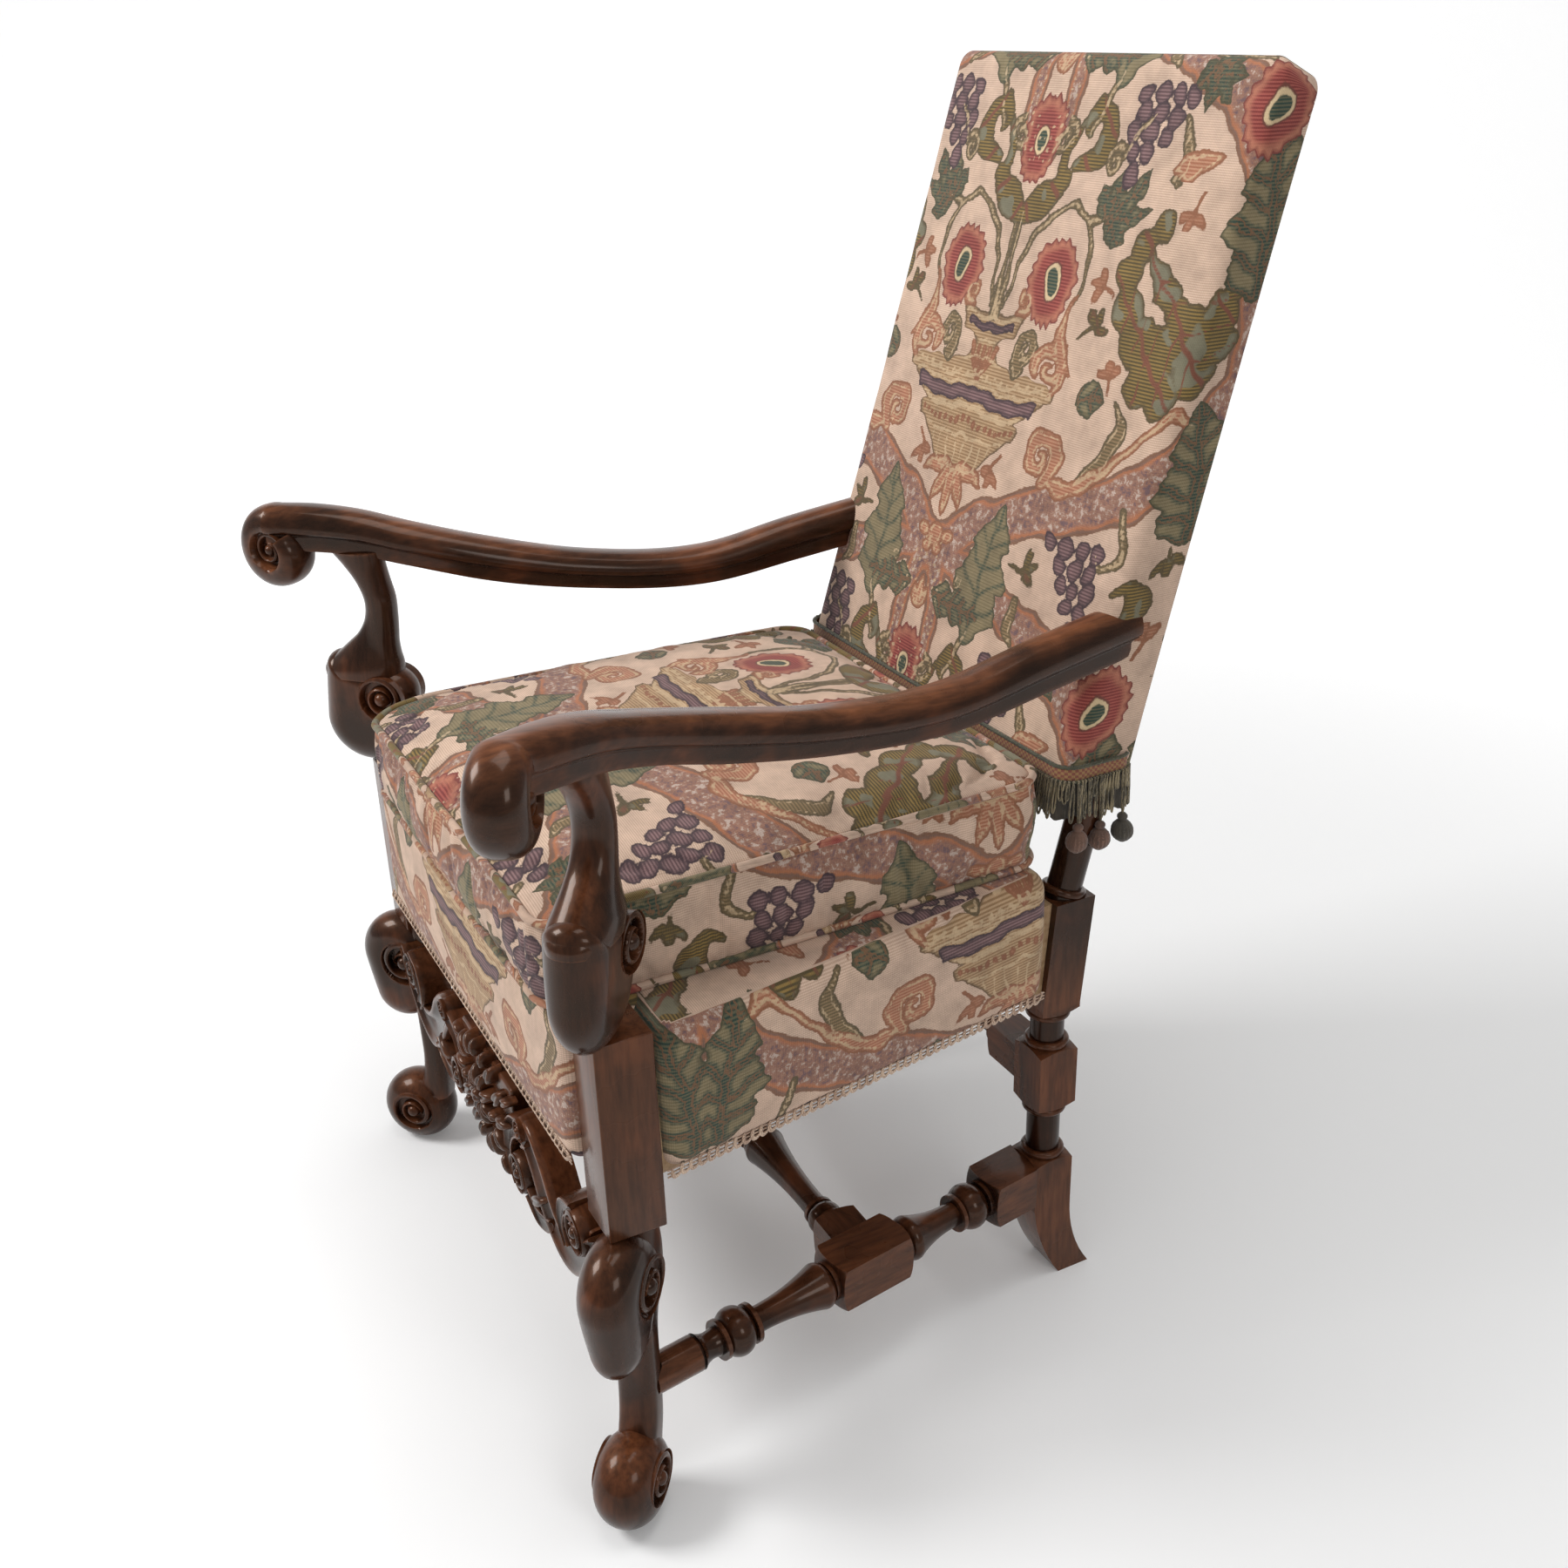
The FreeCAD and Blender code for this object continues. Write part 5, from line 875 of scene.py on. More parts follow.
def tapestry():
    material, tree, shader = node_material("tapestry")
    fuzz = noise(tree, 260.0)
    ragged = times(tree, maths(tree, "SUBTRACT", fuzz, 0.5), 3.4)
    weft = read_field(tree, "weft")
    warp = read_field(tree, "warp")
    hatch = stripes(tree, weft, 3.0)
    rib = stripes(tree, weft, 1.9)
    cross = stripes(tree, warp, 1.5)
    ground = mix(tree, rib, (0.54, 0.37, 0.265), (0.72, 0.53, 0.395))
    ground = mix(tree, times(tree, noise(tree, 9.0, 3.0), 0.4), ground, (0.56, 0.4, 0.34))

    def family(name, colour, fill, outline, edge=1.6):
        """Lays one family of motifs over the colour so far."""
        distance = plus(tree, read_field(tree, name), ragged)
        colour = mix(tree, below(tree, distance, 0.3), colour, outline)
        shaded = mix(tree, 0.5, fill, outline)
        band = mix(tree, below(tree, distance, -edge - 2.2, 1.2), shaded, fill)
        return mix(tree, below(tree, distance, -edge), colour, band)

    speckle = ramp(tree, noise(tree, 150.0, 3.0, 0.7), [
        (0.36, (0.17, 0.1, 0.105)), (0.46, (0.3, 0.15, 0.105)), (0.55, (0.33, 0.18, 0.125)),
        (0.61, (0.52, 0.4, 0.34))])
    ribbon_gap = plus(tree, read_field(tree, "ribbon"), ragged)
    core = mix(tree, below(tree, ribbon_gap, -7, 2.5), (0.42, 0.16, 0.075), speckle)
    ribbon = mix(tree, below(tree, ribbon_gap, -3.5, 1.2), (0.2, 0.12, 0.095), core)
    colour = family("ribbon", ground, ribbon, (0.22, 0.11, 0.065))
    tan = mix(tree, hatch, (0.3, 0.18, 0.085), (0.5, 0.33, 0.19))
    colour = family("urn", colour, tan, (0.15, 0.09, 0.045))
    stem = mix(tree, hatch, (0.14, 0.1, 0.045), (0.27, 0.18, 0.09))
    colour = family("stem", colour, stem, (0.11, 0.08, 0.04), 1.2)
    rose = mix(tree, hatch, (0.36, 0.14, 0.075), (0.5, 0.25, 0.15))
    colour = family("salmon", colour, rose, (0.27, 0.11, 0.055))
    gold_lines = mix(tree, hatch, (0.085, 0.062, 0.022), (0.27, 0.175, 0.05))
    cloudy = maths(tree, "SUBTRACT", 0.58, noise(tree, 42.0, 1.0))
    gold_lines = mix(tree, below(tree, cloudy, 0.0, 0.02), gold_lines, (0.2, 0.185, 0.12))
    gold = mix(tree, below(tree, read_field(tree, "gold_vein"), 1.2), gold_lines, (0.2, 0.07, 0.04))
    colour = family("gold", colour, gold, (0.1, 0.07, 0.03))
    sage = mix(tree, stripes(tree, weft, 3.0, 0.5), (0.175, 0.14, 0.07), (0.25, 0.2, 0.11))
    vein_lines = mix(tree, hatch, (0.025, 0.052, 0.036), (0.11, 0.11, 0.065))
    near_vein = plus(tree, read_field(tree, "vein"), times(tree, ragged, 1.5))
    leaf = mix(tree, below(tree, near_vein, 3.2, 2.4), sage, vein_lines)
    leaf = mix(tree, below(tree, size_of(tree, near_vein), 0.7, 0.5), leaf, (0.19, 0.1, 0.05))
    colour = family("leaf", colour, leaf, (0.07, 0.065, 0.033))
    mauve = mix(tree, hatch, (0.115, 0.06, 0.064), (0.255, 0.15, 0.15))
    colour = family("grape", colour, mauve, (0.06, 0.034, 0.04))
    radial = plus(tree, read_field(tree, "radial"), times(tree, ragged, 0.02))
    crimson = mix(tree, hatch, (0.2, 0.03, 0.026), (0.36, 0.085, 0.065))
    petal = mix(tree, below(tree, radial, 0.72, 0.12), (0.45, 0.17, 0.105), crimson)
    heart = mix(tree, below(tree, radial, 0.38, 0.02), petal, (0.16, 0.05, 0.035))
    heart = mix(tree, below(tree, radial, 0.33, 0.02), heart, (0.66, 0.5, 0.3))
    heart = mix(tree, below(tree, radial, 0.24, 0.02), heart, vein_lines)
    colour = family("flower", colour, heart, (0.2, 0.045, 0.035))
    thin = below(tree, plus(tree, read_field(tree, "cream"), ragged), 0.2, 0.5)
    colour = mix(tree, times(tree, thin, 0.75), colour, (0.6, 0.44, 0.27))

    mottle = noise(tree, 38.0, 4.0, 0.65)
    tone = ramp(tree, mottle, [(0.3, (0.78, 0.77, 0.76)), (0.65, (1.08, 1.07, 1.06))])
    colour = mix(tree, 1.0, colour, tone, "MULTIPLY")
    shade = mix(tree, times(tree, cross, 0.16), colour, (0.1, 0.07, 0.05), "MULTIPLY")
    weave = plus(tree, times(tree, rib, 0.6), times(tree, cross, 0.4))
    weave = plus(tree, weave, times(tree, fuzz, 0.5))
    finish_look(tree, shader, shade, weave, 0.35, 0.0005, Roughness=0.92, Sheen_Weight=0.12,
                Sheen_Roughness=0.5)
    return material


tapestry_cloth = tapestry()


# Carved front stretcher, in its own plane: across, upward, out of the front
CARVING_FRONT = -6.0
CARVING_REAR = 23.5
carving_origin = np.array([0.0, CARVING_FRONT, 0.0])
carving_axes = (np.array([1.0, 0.0, 0.0]), UPWARD, np.array([0.0, -1.0, 0.0]))


def carved_band(name, line, widths, dish, front=0.0):
    """A flat bar along a line in the carving's plane, hollowed between raised edges."""
    line = smooth_line(np.array(line, dtype=float), 8)
    run = np.gradient(line, axis=0)
    run /= np.hypot(*run.T)[:, None]
    normal = np.column_stack([-run[:, 1], run[:, 0]])
    half = np.interp(np.linspace(0, 1, len(line)), np.linspace(0, 1, len(widths)), widths)
    profile = [(-1.0, CARVING_FRONT - CARVING_REAR), (-1.0, -7.0), (-0.97, -2.2), (-0.88, 0.2),
               (-0.76, 0.6), (-0.66, -0.6), (-0.5, -0.7 * dish), (-0.25, -0.95 * dish), (0, -dish),
               (0.25, -0.95 * dish), (0.5, -0.7 * dish), (0.66, -0.6), (0.76, 0.6), (0.88, 0.2),
               (0.97, -2.2), (1.0, -7.0), (1.0, CARVING_FRONT - CARVING_REAR)]
    points = []
    for spot, side, reach in zip(line, normal, half):
        for share, out in profile:
            flat = spot + side * reach * share
            points.append(in_plane(flat[0], flat[1], out + (front if out > -10 else 0.0),
                                   carving_origin, carving_axes))
    return make(name, points, closed_faces(len(line), len(profile)), wood_across)


def carved_volute(name, centre, radius, hand, proud=3.0):
    middle = (CARVING_FRONT - CARVING_REAR) / 2
    half = -middle + proud
    origin = carving_origin + middle * carving_axes[2]
    body = scroll(name + "_body", [(centre[0], centre[1], radius)], centre, half, 5,
                  recess(radius * 0.86, 9), origin, carving_axes, wood_across, rays=72, rings=24)
    return join(name, [body] + volute(name, centre, radius * 0.86, half - 0.5, 5.5, radius * 0.27, 3,
                                      origin, carving_axes, wood_across, hand=hand, start=90))


def bump_petal(name, centre, along, half_length, half_width, height, crease=0.35):
    """A carved petal or leaf: an oval mound, creased down its middle."""
    rings, rays = 9, 28
    along = np.array(along, dtype=float) / np.hypot(*along)
    aside = np.array([-along[1], along[0]])
    points = [in_plane(centre[0], centre[1], height * (1 - crease), carving_origin, carving_axes)]
    for ring in range(1, rings + 1):
        share = ring / rings
        for ray in range(rays):
            angle = 2 * math.pi * ray / rays
            stretch = share * half_length * math.cos(angle) * (1 + 0.12 * math.cos(3 * angle))
            reach = share * half_width * math.sin(angle)
            flat = np.array(centre) + along * stretch + aside * reach
            mound = height * math.sqrt(max(0.0, 1 - share ** 2.4))
            fold = crease * height * math.exp(-(reach / (0.28 * half_width)) ** 2) * (1 - share ** 2)
            points.append(in_plane(flat[0], flat[1], mound - fold - 9 * share ** 8, carving_origin,
                                   carving_axes))
    faces = [(0, 1 + j, 1 + (j + 1) % rays) for j in range(rays)]
    faces += grid_faces(rings, rays, start=1)
    faces.append(tuple(range(1 + (rings - 1) * rays, len(points)))[::-1])
    return make(name, points, faces, wood_across)


def half_carving():
    """The carving's right half: an S band between two volutes, and the leaves beside it."""
    pieces = [
        carved_band("outer_band", [(276, 262), (252, 236), (222, 214), (192, 208), (164, 222),
                                   (142, 250), (118, 268), (98, 258)], [9, 15, 19, 21, 22, 21, 18, 13], 5.5),
        carved_band("rising_edge", [(236, 270), (214, 262), (206, 240), (216, 222)], [9, 9, 8, 6], 2, 2.5),
        carved_volute("end_volute", (238, 252), 23, 1), carved_volute("inner_volute", (89, 211), 22, -1),
        carved_volute("crest_curl", (112, 274), 13, 1, 4.5),
        carved_band("inner_band", [(118, 270), (88, 262), (68, 240), (66, 214), (80, 194)],
                    [11, 12, 12, 11, 8], 3.5, 1.5),
        carved_band("foot_band", [(104, 200), (128, 192), (152, 198), (168, 206)], [9, 10, 9, 6], 3),
        carved_band("end_lug", [(228, 252), (260, 251)], [14, 14, 14], 1.5, -6),
    ]
    leaves = [
        # centre, direction, half length, half width, height
        ((50, 268), (1, 1.2), 15, 8, 7), ((30, 281), (0.5, 1), 13, 7.5, 7), ((58, 247), (1, 0.2), 14, 7, 8),
        ((46, 222), (1, -0.5), 15, 8, 8), ((26, 205), (0.6, -1), 14, 8, 7.5),
        ((56, 200), (1, -1), 12, 7, 6.5), ((138, 214), (1, 0.6), 17, 7, 4), ((40, 244), (1, 0.1), 9, 6, 10),
        ((12, 287), (0.2, 1), 10, 6, 7), ((12, 196), (0.3, -1), 12, 7, 7), ((70, 276), (1, 0.4), 10, 5.5, 5)]
    for index, leaf in enumerate(leaves):
        pieces.append(bump_petal(f"leaf_{index}", *leaf))
    return pieces


def front_carving():
    right = join("carving_half", half_carving())
    other = mirror(right, "carving_other_half")
    centre = [block("carving_board", (-72, CARVING_FRONT + 5, 190), (72, CARVING_REAR, 288), 3,
                    wood_across)]
    for index in range(8):
        angle = 2 * math.pi * (index + 0.5) / 8
        spoke = (math.cos(angle), math.sin(angle))
        spot = (18 * spoke[0], 244 + 18 * spoke[1])
        centre.append(bump_petal(f"petal_{index}", spot, spoke, 12.5, 7.5, 10))
    centre.append(bump_petal("flower_eye", (0, 244), (1, 0), 9, 9, 13, 0.3))
    return join("front_stretcher_carved", [right, other] + centre)


carving = front_carving()
sharpen(carving, 50)
dress(carving, "frame", "front_stretcher")


# Upholstery: sizes as in the part, in the chair frame
BACK_FOOT = 540.0
BACK_TOP = 1120.0
BACK_HALF = 232.0
BACK_DROP = 19.0
BACK_RADIUS = 17.0
SEAT_LOW = 332.0
SEAT_TOP = 466.0
CUSHION_LOW = 466.6
CUSHION_EDGE = 551.0
CUSHION_FRONT = -10.0
CUSHION_REAR = 457.0
CUSHION_HALF = 242.5
CUSHION_MIDDLE = 223
CUSHION_NARROWING = 14.0
CUSHION_CORNER = 30.0
CUSHION_CROWN = 19.0
LAST_FRAME = 16


def soft_box(size, step, radius):
    """Points and quads of a rounded box centred on the origin, its faces gridded."""
    size = np.array(size, dtype=float)
    counts = np.maximum(2, np.round(size / step)).astype(int)
    half = size / 2
    points, faces, start = [], [], 0
    for axis in range(3):
        first, second = (axis + 1) % 3, (axis + 2) % 3
        rows, columns = counts[first] + 1, counts[second] + 1
        a, b = np.meshgrid(np.linspace(-half[first], half[first], rows),
                           np.linspace(-half[second], half[second], columns), indexing="ij")
        for sign in (-1, 1):
            side = np.zeros((rows * columns, 3))
            side[:, axis] = sign * half[axis]
            side[:, first] = a.ravel()
            side[:, second] = b.ravel()
            points.append(side)
            for quad in grid_faces(rows, columns, wrap=False, start=start):
                faces.append(quad[::-1] if sign > 0 else quad)
            start += len(side)
    points = np.vstack(points)
    _, kept, places = np.unique(np.round(points, 3), axis=0, return_index=True, return_inverse=True)
    places = places.ravel()
    faces = [tuple(int(places[corner]) for corner in face) for face in faces]
    core = np.clip(points[kept], radius - half, half - radius)
    push = points[kept] - core
    length = np.maximum(np.linalg.norm(push, axis=1, keepdims=True), 1e-9)
    return core + push / length * radius, faces


def side_outer(setback):
    """Outer face of the side rails, which draw in toward the rear."""
    return 302.5 - 67.0 / 408.4 * (setback - 48.6)


def ripple(points, size, amount, seed):
    """A gentle unevenness from a few fixed waves."""
    source = np.random.default_rng(seed)
    total = np.zeros(len(points))
    for _ in range(7):
        wave = source.normal(size=3) * 2 * math.pi / size
        total += np.sin(points @ wave + source.uniform(0, 2 * math.pi))
    return total / 7 * amount


def back_rake(height):
    """Setbacks of the back's front face and its rear face at a height."""
    return 476 + 183 / 580 * (height - BACK_FOOT), 516 + 0.26775 * (height - 425)


def back_cover():
    depth, height = 66.0, BACK_TOP - BACK_FOOT
    size = (BACK_HALF * 2, depth + BACK_RADIUS, height + BACK_RADIUS)
    points, faces = soft_box(size, 2.6, BACK_RADIUS)
    x = points[:, 0]
    share = np.clip((points[:, 1] + (depth + BACK_RADIUS) / 2) / depth, 0, 1)
    high = np.clip((points[:, 2] + (height + BACK_RADIUS) / 2 - BACK_RADIUS) / height, 0, 1)
    z = BACK_FOOT + high * (height - BACK_DROP * share)
    front, rear = back_rake(z)
    across = np.clip(1 - (x / BACK_HALF) ** 2, 0, 1)
    upright = np.clip(1 - (2 * high - 1) ** 4, 0, 1)
    stuffing = 7 * across ** 0.7 * (0.35 + 0.65 * upright) * (1 - share) ** 2
    stuffing += ripple(points, 190, 1.1, 3) * (1 - share) * upright
    waist = 2.5 * upright * np.abs(x / BACK_HALF) ** 3
    x = x - np.sign(x) * waist * 0.6
    y = front + share * (rear - front) - stuffing
    wrap = np.abs(x) / BACK_HALF
    side = np.clip((wrap - 0.93) / 0.07, 0, 1) * share * (rear - front)
    over = np.clip((high - 0.97) / 0.03, 0, 1) * share * (rear - front)
    piece = make("back_cover", np.column_stack([x, y, z]), faces, tapestry_cloth, outward=False)
    paint(piece, x + np.sign(x) * side, (z - BACK_FOOT) * 1.05 + over + 2, 45)
    return piece


def seat_body():
    front, rear = 49.3, 456.4
    height = SEAT_TOP - SEAT_LOW
    width = 560.0
    points, faces = soft_box((width, rear - front, height), 2.8, 20)
    y = points[:, 1] + (front + rear) / 2
    low = points[:, 2] / height + 0.5
    swell = 9 + 5 * np.sin(np.pi * np.clip(low * 0.9, 0, 1)) ** 0.8
    along = np.clip((y - front) / (rear - front), 0, 1)
    swell += 4.5 * np.sin(math.pi * along) ** 0.7 * low
    swell += ripple(points, 170, 0.9, 5)
    x = points[:, 0] / (width / 2) * (side_outer(y) + swell)
    z = SEAT_LOW + low * height
    piece = make("seat_body", np.column_stack([x, y, z]), faces, tapestry_cloth, outward=False)
    around = np.sign(x) * (258 + (y + 9))
    level = SEAT_TOP - z
    top = points[:, 2] > height / 2 - 1
    paint(piece, np.where(top, x, around), np.where(top, 330 + y, 330 - level), -20)
    return piece


def seat_front():
    front, rear = -8.0, 70.0
    height = SEAT_TOP - SEAT_LOW
    points, faces = soft_box((516, rear - front, height), 2.8, 14)
    x = points[:, 0]
    y = points[:, 1] + (front + rear) / 2
    low = points[:, 2] / height + 0.5
    share = np.clip(1 - (points[:, 1] / (rear - front) + 0.5) * 2, 0, 1)
    swell = 6 * np.sin(math.pi * np.clip(low, 0, 1)) ** 0.8 * (1 - (x / 258) ** 4)
    y = y - (swell + ripple(points, 160, 0.8, 8)) * share
    z = SEAT_LOW + low * height
    piece = make("seat_front", np.column_stack([x, y, z]), faces, tapestry_cloth, outward=False)
    paint(piece, x, 330 - (SEAT_TOP - z), -20)
    return piece


def plan_corner(a, b, half_x, half_y, radius):
    """Where a square's point goes when its plan is a rectangle with rounded corners."""
    ring = np.maximum(np.maximum(np.abs(a), np.abs(b)), 1e-9)
    x, y = a / ring * half_x, b / ring * half_y
    core_x = np.clip(x, radius - half_x, half_x - radius)
    core_y = np.clip(y, radius - half_y, half_y - radius)
    push = np.maximum(np.hypot(x - core_x, y - core_y), 1e-9)
    x = core_x + (x - core_x) / push * radius
    y = core_y + (y - core_y) / push * radius
    return x * ring, y * ring


def cushion_plan(a, b, grow=0.0):
    """Cushion plan from -1..1 each way: straight sides that swell a little, drawn in behind."""
    half_y = (CUSHION_REAR - CUSHION_FRONT) / 2
    x, y = plan_corner(a, b, CUSHION_HALF + grow, half_y + grow, CUSHION_CORNER)
    x = x * (1 - CUSHION_NARROWING / CUSHION_HALF * (y + half_y) / (2 * half_y))
    x = x + np.sign(x) * 3.0 * np.abs(a) ** 3 * np.clip(1 - b ** 2, 0, 1)
    y = y - 3.5 * np.clip(-b, 0, 1) ** 3 * np.clip(1 - a ** 2, 0, 1)
    return x, y + (CUSHION_REAR + CUSHION_FRONT) / 2


def cushion_droop(x, y):
    """The front edge and its corners sink where the stuffing is thin."""
    forward = np.clip((60 - y) / 70, 0, 1)
    return forward ** 2 * (3 + 9 * np.clip(np.abs(x) / CUSHION_HALF, 0, 1) ** 4)


def cushion_body(step=3.2):
    height = CUSHION_EDGE - CUSHION_LOW
    size = (490, 470, height)
    points, faces = soft_box(size, step, 7)
    a, b = points[:, 0] / (size[0] / 2), points[:, 1] / (size[1] / 2)
    share = points[:, 2] / height + 0.5
    x, y = cushion_plan(a, b)
    bulge = 3.2 * np.sin(math.pi * np.clip(share, 0, 1))
    ring = np.maximum(np.abs(a), np.abs(b)) ** 12
    x = x + np.sign(a) * bulge * ring * np.abs(a) ** 6
    y = y + np.sign(b) * bulge * ring * np.abs(b) ** 6
    crown = CUSHION_CROWN * np.clip(1 - np.abs(a) ** 2.6, 0, 1) ** 0.75 * np.clip(
        1 - np.abs(b) ** 2.6, 0, 1) ** 0.75
    crown = crown + ripple(points, 150, 2.2, 11) * np.clip(1 - ring, 0, 1)
    z = CUSHION_LOW + share * height + crown * np.clip(share * 1.4 - 0.4, 0, 1)
    z = z - cushion_droop(x, y) * np.clip(share, 0, 1)
    return x, y, z, faces


def cushion_cover():
    x, y, z, faces = cushion_body()
    points = np.column_stack([x, y, z])
    points = stuffed(points, faces)
    piece = make("cushion_soft", points, faces, tapestry_cloth, outward=False)
    paint_cushion(piece, points)
    return piece


def cushion_pad():
    """The filling, just inside the cover."""
    x, y, z, faces = cushion_body(8.0)
    middle = (CUSHION_LOW + CUSHION_EDGE) / 2
    points = np.column_stack([x * 0.97, CUSHION_MIDDLE + (y - CUSHION_MIDDLE) * 0.97,
                              middle + (z - middle) * 0.86])
    return make("cushion_pad", points, faces, ticking, outward=False)


def stuffed(points, faces, cap=9.0):
    """Cloth simulation of the cover under the pressure of its stuffing, its seams held."""
    blank = make("cushion_trial", points, faces, tapestry_cloth, outward=False)
    group = blank.vertex_groups.new(name="seams")
    x, y, z = points.T
    edge = CUSHION_EDGE - cushion_droop(x, y)
    held = (np.abs(z - edge) < 3.2) | (z < CUSHION_LOW + 2.5)
    group.add(np.flatnonzero(held).tolist(), 1.0, "REPLACE")
    cloth_modifier = blank.modifiers.new("stuffing", "CLOTH")
    settings = cloth_modifier.settings
    settings.quality = 5
    settings.mass = 0.3
    settings.tension_stiffness = 22
    settings.compression_stiffness = 12
    settings.shear_stiffness = 8
    settings.bending_stiffness = 1.2
    settings.use_pressure = True
    settings.uniform_pressure_force = 3.2
    settings.shrink_min = -0.035
    settings.effector_weights.gravity = 0
    settings.vertex_group_mass = "seams"
    cloth_modifier.collision_settings.use_collision = False
    cloth_modifier.point_cache.frame_start = 1
    cloth_modifier.point_cache.frame_end = LAST_FRAME
    for frame_number in range(1, LAST_FRAME + 1):
        scene.frame_set(frame_number)
    solved = blank.evaluated_get(bpy.context.evaluated_depsgraph_get()).data
    moved = np.empty(len(points) * 3)
    solved.vertices.foreach_get("co", moved)
    moved = moved.reshape(-1, 3) / MM + ORIGIN
    scene.frame_set(1)
    bpy.data.objects.remove(blank)
    shift = moved - points
    length = np.maximum(np.linalg.norm(shift, axis=1, keepdims=True), 1e-9)
    moved = points + shift / length * cap * np.tanh(length / cap)
    moved[:, 2] = np.maximum(moved[:, 2], z.min())
    return moved


def paint_cushion(piece, points):
    """The cushion's top, boxing and underside each carry their own cut of the cloth."""
    x, y, z = points.T
    edge = CUSHION_EDGE - cushion_droop(x, y) - 4
    lateral = np.abs(x) / CUSHION_HALF > np.abs((y - CUSHION_MIDDLE) / 234)
    side = np.where(y < CUSHION_MIDDLE, x, 2 * 490 - x)
    side = np.where(lateral, np.sign(x) * (CUSHION_HALF + y + 10), side)
    top = z > edge
    paint(piece, np.where(top, x, side), np.where(top, y + 55, z - 320), 12)


def tube(name, path, radius, material, count=10):
    """A round cord along a closed path of points in the chair frame."""
    run = np.roll(path, -1, axis=0) - np.roll(path, 1, axis=0)
    run /= np.linalg.norm(run, axis=1, keepdims=True)
    level = np.cross(run, UPWARD)
    level /= np.linalg.norm(level, axis=1, keepdims=True)
    upper = np.cross(level, run)
    angles = circle(count)
    rings = (path[:, None] + radius * (np.cos(angles)[None, :, None] * level[:, None]
                                       + np.sin(angles)[None, :, None] * upper[:, None]))
    faces = [tuple(corner % (len(path) * count) for corner in face)
             for face in grid_faces(len(path) + 1, count)]
    return make(name, rings.reshape(-1, 3), faces, material, outward=False)


def cushion_loop(share, count=560):
    """The cushion's outline at a share of its height, a point every few millimetres."""
    a, b = np.cos(circle(count)), np.sin(circle(count))
    ring = np.maximum(np.abs(a), np.abs(b))
    x, y = cushion_plan(a / ring, b / ring, 1.5)
    z = CUSHION_LOW + share * (CUSHION_EDGE - CUSHION_LOW) - cushion_droop(x, y) * share
    return np.column_stack([x, y, z])


dress(back_cover(), "frame", "back_upholstery")
dress(join("seat_cover", [seat_front(), seat_body()]), "frame", "seat_upholstery")
dress(cushion_cover(), "seat_cushion", "cushion_cover")
dress(cushion_pad(), "seat_cushion", "cushion_filling")
for level, share in (("upper", 0.985), ("lower", 0.03)):
    piping = tube(f"cushion_piping_{level}", cushion_loop(share), 3.6, tapestry_cloth)
    points = np.array([vertex.co for vertex in piping.data.vertices]) / MM
    paint(piping, points[:, 0] * 2.2, points[:, 1] * 2.2 + points[:, 2], 40)
    dress(piping, "seat_cushion")


# Trimming: the seat's gimp and webbing, and the braid, fringe, tassels and outside cloth of the back
CHECK_RUN = 2.7
CHECK_RISE = 2.6
CHECK_EDGE = 5.4


def thread(name, dark, light):
    """Silky twisted thread."""
    material, tree, shader = node_material(name)
    twist = noise(tree, 420.0, kind="Wave", Distortion=5.0)
    share = plus(tree, times(tree, noise(tree, 70.0, 3.0), 0.75), times(tree, twist, 0.25))
    finish_look(tree, shader, ramp(tree, share, [(0.36, dark), (0.62, light)]), twist, 0.5, 0.0004,
                Roughness=0.62, Sheen_Weight=0.25)
    return material


def checked_braid(name):
    """Gold and red-brown checks between dark green edges, read from the stored run and rise."""
    material, tree, shader = node_material(name)
    run, rise = read_field(tree, "run"), read_field(tree, "rise")
    columns = maths(tree, "SINE", times(tree, run, math.pi / CHECK_RUN))
    rows = maths(tree, "SINE", times(tree, rise, math.pi / CHECK_RISE))
    check = below(tree, times(tree, columns, rows), 0.0, 0.25)
    gold = mix(tree, stripes(tree, run, 0.9), (0.36, 0.2, 0.07), (0.24, 0.12, 0.045))
    colour = mix(tree, check, gold, (0.2, 0.055, 0.03))
    edge = below(tree, size_of(tree, rise), CHECK_EDGE, 0.3)
    colour = mix(tree, edge, (0.035, 0.04, 0.018), colour)
    relief = plus(tree, times(tree, check, 0.6), stripes(tree, rise, 1.3))
    finish_look(tree, shader, colour, relief, 0.5, 0.0006, Roughness=0.7, Sheen_Weight=0.2)
    return material


def webbing(name):
    """Jute webbing with a dark line near each edge and a twill in the middle."""
    material, tree, shader = node_material(name)
    run, rise = read_field(tree, "run"), read_field(tree, "rise")
    from_middle = size_of(tree, rise)
    twill = stripes(tree, plus(tree, run, from_middle), 2.4)
    colour = mix(tree, twill, (0.24, 0.17, 0.09), (0.42, 0.33, 0.2))
    line = below(tree, size_of(tree, maths(tree, "SUBTRACT", from_middle, 19.0)), 1.6)
    finish_look(tree, shader, mix(tree, line, colour, (0.05, 0.045, 0.04)), twill, 0.6, 0.0006,
                Roughness=0.9)
    return material


